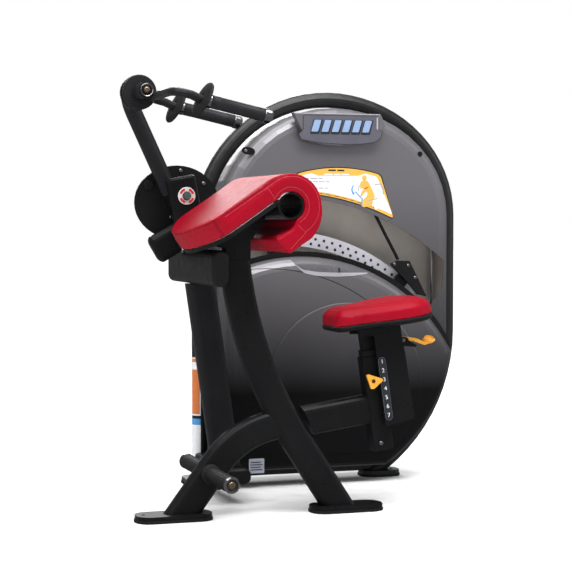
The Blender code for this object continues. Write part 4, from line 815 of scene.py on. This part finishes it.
def make_pictogram():
    """A plain diagram of someone seated at a machine, in the placard's colours."""
    body = [[
        (0.4187, 0.9863), (0.4283, 0.9888), (0.4414, 0.9888), (0.4498, 0.9771), (0.4568, 0.9624),
        (0.4652, 0.9441), (0.4675, 0.9349), (0.4606, 0.9239), (0.4568, 0.9074), (0.4260, 0.9019),
        (0.4202, 0.9129), (0.4245, 0.9258), (0.4375, 0.9368), (0.4414, 0.9485), (0.4368, 0.9544),
        (0.4260, 0.9441), (0.4214, 0.9368), (0.4152, 0.9397), (0.4202, 0.9514), (0.4283, 0.9643),
        (0.4168, 0.9624), (0.4137, 0.9764),
    ]]
    head = [blob((0.4300, 0.9975), 0.0085, 0.0100, squareness=2.0)]
    levers = [
        [(0.3972, 0.9522), (0.3999, 0.9544), (0.4202, 0.9338), (0.4175, 0.9309)],
        [(0.4202, 0.9331), (0.4245, 0.9331), (0.4229, 0.9038), (0.4187, 0.9038)],
    ]
    seat = [
        [(0.4375, 0.9239), (0.4760, 0.9331), (0.4775, 0.9302), (0.4391, 0.9206)],
        [
            (0.4660, 0.9778), (0.4875, 0.9808), (0.4983, 0.9661), (0.4983, 0.9441), (0.4944, 0.9441),
            (0.4944, 0.9643), (0.4852, 0.9771), (0.4660, 0.9742),
        ],
        [(0.4106, 0.9734), (0.4137, 0.9742), (0.4106, 0.9551), (0.4075, 0.9551)],
    ]
    turn = [
        [
            (0.3914, 0.9749), (0.3860, 0.9676), (0.3841, 0.9602), (0.3856, 0.9529), (0.3899, 0.9470),
            (0.3937, 0.9485), (0.3902, 0.9544), (0.3887, 0.9602), (0.3902, 0.9668), (0.3937, 0.9727),
        ],
        [(0.3860, 0.9470), (0.3960, 0.9514), (0.3937, 0.9419)],
    ]
    muscle = [[
        (0.4298, 0.9654), (0.4356, 0.9661), (0.4460, 0.9712), (0.4429, 0.9668), (0.4352, 0.9617),
        (0.4306, 0.9624),
    ]]
    dot = [arc((0.472, 0.902), 0.0070, 0, 2 * math.pi * 15 / 16, 15)]
    sheets = [
        ("placard_figure", body + head, 0.4979, "ink_orange"),
        ("placard_levers", levers, 0.4977, "ink_blue"),
        ("placard_seat_lines", seat, 0.4978, "ink_grey"),
        ("placard_turn_marks", turn, 0.4977, "ink_blue"),
        ("placard_red_mark", muscle, 0.4974, "ink_red"),
        ("placard_round_mark", dot, 0.4980, "ink_white"),
    ]
    for name, outlines, front, ink in sheets:
        shapes = [plate_rings(outline, front, 0.0004, beside, 0.0001) for outline in outlines]
        loft(name, shapes, M[ink], "frame")


def make_badge():
    """The header plate, with a plain emblem of slanted bars."""
    outline = rounded(
        [(0.2140, 1.1985), (0.4740, 1.1985), (0.4740, 1.1550), (0.4860, 1.1480), (0.4830, 1.1310),
         (0.4650, 1.1150), (0.4180, 1.1080), (0.3680, 1.1055), (0.2790, 1.1090), (0.2080, 1.1190),
         (0.1980, 1.1380), (0.2140, 1.1500)], 0.008)
    plate("badge_face", outline, 0.4728, 0.0011, M["badge"], edge=0.0006)
    rim = [at(a, 0.4734, b) for a, b in outline]
    loft("badge_rim", [tube_rings(rim, 0.0008, 6, closed=True)], M["gap"], "frame", wrap=True)
    # A lighter strip on the badge's right bevel: a painted highlight.
    bevel = [(0.4665, 1.1570), (0.4725, 1.1540), (0.4725, 1.1970), (0.4665, 1.1930)]
    plate("badge_bevel_painted_highlight", bevel, 0.4722, 0.0006, M["crescent"], edge=0.0002)
    fronts, backs = [], []
    lean, wide, tall, middle = 0.0120, 0.0230, 0.0190, 1.1640
    for number in range(6):
        a = 0.2400 + number * 0.0350
        for grow, made, front, thick in ((0.0, fronts, 0.4694, 0.0020), (0.0042, backs, 0.4714, 0.0014)):
            low, high = middle - tall - grow, middle + tall + grow
            left, right = a - grow, a + wide + grow
            loop = [(left, low), (right, low), (a + wide + lean + grow, high), (a + lean - grow, high)]
            drop = -grow * 0.6
            loop = [(p - drop * 0.5, q + drop) for p, q in loop]
            made.append(plate_rings(rounded(loop, 0.003), front, thick, at, 0.0006))
    loft("badge_backs", backs, M["slate"], "frame")
    loft("badge_bars", fronts, M["badge_bar"], "frame")


def make_shroud_details():
    """What shows through the window, and the small parts let into the shrouds."""
    # The lining and its side wall are coloured lighter than they are, as painted light inside the tower.
    lining = rounded([
        (-0.030, 0.300), (0.690, 0.330), (0.7375, 0.520), (0.7375, 0.880), (0.640, 1.090),
        (0.120, 1.110), (-0.030, 0.880),
    ], 0.03)
    plate("window_lining", lining, 0.6400, 0.0020, M["olive"])
    # Dark studs stand for the selector's holes: their black is painted shade inside the holes.
    holes, pitch = [], 2.66
    for radius, first, last, phase in ((0.6382, 50.0, 100.0, 0.0), (0.6205, 52.0, 100.0, 1.45)):
        for step in range(-12, 9):
            angle = 79.5 + phase * 0.85 + step * pitch
            if not first < angle < last:
                continue
            turn = math.radians(angle)
            centre = at(SWING[0] + radius * math.cos(turn), 0.5450, SWING[1] + radius * math.sin(turn))
            holes.append(screw_rings(centre, (0, -1, 0), 0.0046, 0.0012, 0.55))
    loft("selector_hole_shades", holes, M["hole"], "frame")
    section = ((0.7375, 0.5420), (0.7395, 0.5420), (0.7395, 0.6390), (0.7375, 0.6390))
    wall = [[at(x, y, z) for x, y in section] for z in (0.500, 0.700, 0.900)]
    loft("window_side_lining", [wall], M["olive"], "frame")
    # A flat black plate stands for the screw pocket: painted shade of the recess.
    pocket = blob((0.0375, 1.0815), 0.0225, 0.0125, -0.14, squareness=2.2)
    plate("pocket_shade_left_top", pocket, 0.4996, 0.0003, M["plastic"])
    for name, spot in (("notch_right_top", (0.632, 1.079)), ("notch_right_low", (0.624, 0.166))):
        plate(name, blob(spot, 0.0080, 0.0080, squareness=3.0), 0.4997, 0.0003, M["gap"])
    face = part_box("belt_bracket")[0][1]
    bolts = []
    for x, z in ((0.546, 0.714), (0.595, 0.709), (0.620, 0.669)):
        spot = at(x, 0.0, z)
        spot.y = face
        bolts.append(screw_rings(spot, (0, -1, 0), 0.0058, 0.0026))
    loft("bracket_bolts", bolts, M["steel"], "frame")
    screw = screw_rings(at(0.0290, 0.4994, 1.0815), (0, -1, 0), 0.0052, 0.0022)
    loft("shroud_screws", [screw], M["steel"], "frame")


def make_bulge_details():
    """The parting line and the lens, laid on the bulge's own surface."""
    tree = surface_of(NODES["lower_bulge"])

    def project(x, z, lift=0.0):
        start = at(x, 0.30, z)
        place, normal, _, _ = tree.ray_cast(start, Vector((0, 1, 0)))
        if place is None:
            place, normal, _, _ = tree.find_nearest(at(x, 0.48, z))
        return place + (normal if normal.y < 0 else -normal) * lift

    line = [project(x, z) for x, z in arc((0.085, 0.100), 0.605, math.radians(101), math.radians(36), 60)]
    loft("bulge_parting_line", [tube_rings(line, 0.0010, 6)], M["gap"], "frame")
    upper = [
        (0.172, 0.7330), (0.200, 0.7345), (0.260, 0.7330), (0.330, 0.7220), (0.392, 0.7060), (0.440, 0.6910),
    ]
    middle = [
        (0.182, 0.7180), (0.206, 0.7010), (0.256, 0.6930), (0.325, 0.6900), (0.385, 0.6890), (0.436, 0.6880),
    ]
    lower = [
        (0.190, 0.7080), (0.211, 0.6895), (0.256, 0.6800), (0.322, 0.6770), (0.382, 0.6790), (0.432, 0.6850),
    ]

    def patch(name, top, bottom, lift, material):
        columns = []
        for (x0, z0), (x1, z1) in zip(bottom, top):
            places = [(x0 + (x1 - x0) * t, z0 + (z1 - z0) * t) for t in (0.0, 0.25, 0.5, 0.75, 1.0)]
            front = [project(x, z, lift) for x, z in places]
            back = [project(x, z, -0.0010) for x, z in reversed(places)]
            columns.append(front + back)
        loft(name, [columns], material, "frame")

    def finer(line, count=24):
        made = []
        for step in range(count + 1):
            t = (len(line) - 1) * step / count
            k = min(int(t), len(line) - 2)
            (x0, z0), (x1, z1) = line[k], line[k + 1]
            made.append((x0 + (x1 - x0) * (t - k), z0 + (z1 - z0) * (t - k)))
        return made

    patch("bulge_lens", finer(upper), finer(middle), 0.0010, M["lens"])
    patch("bulge_lens_edge", finer(middle), finer(lower), 0.0012, M["crescent"])
    corners = ((-0.003, -0.007), (0.003, -0.007), (0.003, 0.007), (-0.003, 0.007))
    mark = [project(0.331 + dx, 0.697 + dz, 0.0022) for dx, dz in corners]
    deep = [p + Vector((0, 0.001, 0)) for p in mark]
    loft("bulge_lens_mark", [[deep, mark]], M["ink_black"], "frame")


def make_height_strip():
    """Slate strip with the seat's height numbers, on the side of the sliding carriage."""
    outline = stadium(0.0575, 0.0810, -0.1010, 0.0885)
    plate("height_strip_rim", outline, -0.0461, 0.0009, M["slate_edge"], "seat", seat_at)
    plate("height_strip", inset(outline, 0.0008), -0.0463, 0.0009, M["slate"], "seat", seat_at)
    cos, sin = math.cos(SEAT_TILT), math.sin(SEAT_TILT)
    turn = Matrix(((cos, -sin, 0), (0, 0, -1), (sin, cos, 0)))
    builder = bmesh.new()
    for number in range(1, 8):
        data = bpy.data.curves.new("digit", "FONT")
        data.body = str(number)
        data.size = 0.0175
        data.align_x = "CENTER"
        data.align_y = "CENTER"
        data.extrude = 0.0002
        text = bpy.data.objects.new("digit", data)
        bpy.context.scene.collection.objects.link(text)
        depsgraph = bpy.context.evaluated_depsgraph_get()
        digit = bpy.data.meshes.new_from_object(text.evaluated_get(depsgraph))
        place = seat_at(0.0693, -0.0464, 0.0752 - (number - 1) * 0.0268)
        digit.transform(Matrix.Translation(place) @ turn.to_4x4())
        builder.from_mesh(digit)
        bpy.data.objects.remove(text)
    mesh = bpy.data.meshes.new("height_numbers")
    builder.to_mesh(mesh)
    builder.free()
    add_piece("height_numbers", mesh, M["ink_white"], "seat")


def make_seat_details():
    bolts = [screw_rings(seat_at(0.0320, -0.0540, 0.0235), (0, -1, 0), 0.0058, 0.0026)]
    loft("pointer_bolt", bolts, M["bolt_brown"], "frame")
    spoon = [
        (0.0006, -0.0040), (0.0090, -0.0036), (0.0150, 0.0008), (0.0164, 0.0044),
        (0.0154, 0.0052), (0.0140, 0.0026), (0.0085, -0.0006), (0.0006, -0.0012),
    ]
    rings = turned_rings(spoon, seat_at(0.2440, -0.0010, 0.1085), Vector((-0.10, -0.66, 0.75)), 36)
    loft("lever_spoon", [rings], M["orange"], "lever", wrap=True)
    lug = [screw_rings(seat_at(0.158, -0.0128, 0.1225), (0, -1, 0), 0.0060, 0.0030)]
    loft("lever_pin_head", lug, M["steel"], "seat")
    screw = screw_rings(seat_at(0.041, -0.0252, -0.168), (0, -1, 0), 0.0065, 0.0030)
    loft("post_screw", [screw], M["steel"], "frame")


def make_arm_details():
    towards, away = (0, -1, 0), (0, 1, 0)
    spots = [(-0.230, 1.011), (-0.157, 0.972), (-0.259, 0.868)]
    screws = [screw_rings(at(x, 0.3339, z), towards, 0.0062, 0.0028) for x, z in spots]
    loft("cam_screws", screws, M["steel"], "arm")
    face = 0.2204
    centre = at(PIVOT.x, face, PIVOT.z)
    bolt = screw_rings(centre + Vector((0, 0.004, 0)), towards, 0.0108, 0.0120, 0.48)
    loft("pivot_bolt", [bolt], M["steel"], "frame")
    marks = []
    for quarter in range(4):
        start = math.radians(quarter * 90 + 18)
        band = arc((PIVOT.x, PIVOT.z), 0.0235, start, start + math.radians(54), 10)
        band += arc((PIVOT.x, PIVOT.z), 0.0165, start + math.radians(54), start, 10)
        marks.append(plate_rings(band, face - 0.0003, 0.0006, at, 0.0001))
    loft("pivot_marks", marks, M["ink_red"], "frame")
    hub = at(HUB.x, 0.0470, HUB.z)
    screw = screw_rings(hub + Vector((0, 0.001, 0)), towards, 0.0085, 0.0026)
    loft("hub_screw", [screw], M["bronze"], "handles")
    low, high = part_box("hub_bolt")
    reach = (high[2] - low[2]) / 2
    ring = [
        (reach + 0.0008, -0.0003), (reach + 0.0010, 0.0006),
        (reach - 0.0002, 0.0016), (reach - 0.0016, 0.0006),
    ]
    place = at(HUB.x, 0.0, HUB.z)
    place.y = low[1] + 0.0004
    loft("hub_bright_ring", [turned_rings(ring, place, towards, 48)], M["chrome"], "handles", wrap=True)
    ends = [(at(PEG_X, -PEG_FACE, PEG_Z), towards), (at(PEG_X, PEG_FACE, PEG_Z), away)]
    pegs = [screw_rings(spot, way, 0.0100, 0.0035) for spot, way in ends]
    loft("peg_screws", pegs, M["bronze"], "frame")
    dish = [(0.0095, 0.0002), (0.0168, 0.0002), (0.0164, 0.0010), (0.0095, 0.0012)]
    dishes = [turned_rings(dish, spot, way, 36) for spot, way in ends]
    loft("peg_dishes", dishes, M["hole"], "frame", wrap=True)
    ring = [(0.0505, -0.0006), (0.0513, 0.0), (0.0505, 0.0006), (0.0490, 0.0)]
    rings = turned_rings(ring, at(HUB.x, 0.1578, HUB.z), away, 48)
    loft("hub_disc_ring", [rings], M["gap"], "handles", wrap=True)


def make_guards():
    """Thick rubber discs square to the bend of the handle, in front of each grip."""
    along = Vector((0.900, 0.100, -0.435)).normalized()
    profile = [
        (0.0130, -0.0050), (0.0200, -0.0064), (0.0440, -0.0050), (0.0508, -0.0030), (0.0525, 0.0004),
        (0.0508, 0.0038), (0.0440, 0.0056), (0.0200, 0.0070), (0.0130, 0.0062),
    ]
    for end, y in (("near", -HANDLE_Y), ("far", HANDLE_Y)):
        centre = at(GUARD[0], y, GUARD[1])
        disc = turned_rings(profile, centre, along, 64)
        guard = loft("guard_disc_" + end, [disc], M["rubber"], "handles", wrap=True)
        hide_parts("hand_guard_" + end)


def make_grips():
    """Grips with two runs of ribs, each with a bright collar behind its guard."""
    along = Vector((math.cos(HANDLE_DROP), 0, -math.sin(HANDLE_DROP)))
    bore, valley, crest = 0.0129, 0.0184, 0.0189
    profile = [(bore, 0.0226), (0.0180, 0.0226), (crest, 0.0232), (crest, 0.0262)]
    for start in (0.0275, 0.1560):
        for number in range(5):
            low = start + number * 0.0044
            profile += [(valley, low), (crest, low + 0.0008), (crest, low + 0.0028), (valley, low + 0.0036)]
    profile += [(crest, 0.1786), (0.0182, 0.1800), (bore, 0.1800)]
    collar = [
        (bore, 0.0104), (0.0197, 0.0104), (0.0203, 0.0112),
        (0.0203, 0.0214), (0.0196, 0.0222), (bore, 0.0222),
    ]
    for end, y in (("near", -HANDLE_Y), ("far", HANDLE_Y)):
        centre = at(GUARD[0], y, GUARD[1])
        ribbed = turned_rings(profile, centre, along, 48)
        grip = loft("ribbed_grip_" + end, [ribbed], M["grip"], "handles", wrap=True)
        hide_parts("grip_" + end)
        rings = turned_rings(collar, centre, along, 48)
        loft("grip_collar_" + end, [rings], M["chrome"], "handles", wrap=True)


def make_labels():
    """Plain colour blocks where the tower carries stickers."""
    wrap_centre = at(-0.121 + 0.0254, 0.610, 0.0)
    start, end = math.radians(180), math.radians(262)

    def wrapped(z_low, z_high, trim=0.0, radius=0.0256):
        """A thin sleeve on the ring's upright tube, from z_low to z_high."""
        outer = arc((0, 0), radius, start + trim, end - trim, 12)
        inner = arc((0, 0), radius - 0.0004, end - trim, start + trim, 12)
        return [[wrap_centre + Vector((x, y, z)) for x, y in outer + inner] for z in (z_low, z_high)]

    bands = [wrapped(0.231, 0.376, 0.1, 0.0258), wrapped(0.400, 0.411, 0.1, 0.0258)]
    loft("ring_label_white", [wrapped(0.226, 0.415)], M["ink_white"], "frame")
    loft("ring_label_amber", bands, M["label_orange"], "frame")
    loft("ring_label_blue", [wrapped(0.196, 0.216)], M["ink_blue"], "frame")
    loft("ring_label_low", [wrapped(0.092, 0.1958)], M["ink_white"], "frame")
    serial = rounded([(0.025, 0.050), (0.076, 0.050), (0.076, 0.097), (0.025, 0.097)], 0.003)
    plate("serial_plate", serial, 0.4546, 0.0008, M["ink_grey"])
    lines = [(0.030, 0.060 + 0.008 * k, 0.040 - 0.006 * (k % 2), 0.003) for k in range(4)]
    loft("serial_lines", bars(lines, 0.4542, 0.0004), M["ink_black"], "frame")


# ---------------------------------------------------------------- the scene

make_camera()
make_light()
make_floor(M["floor"])
dress_frame()
make_elbow_pad()
make_seat_cushion()
make_placard()
make_badge()
make_shroud_details()
make_bulge_details()
make_height_strip()
make_seat_details()
make_arm_details()
make_grips()
make_guards()
make_labels()
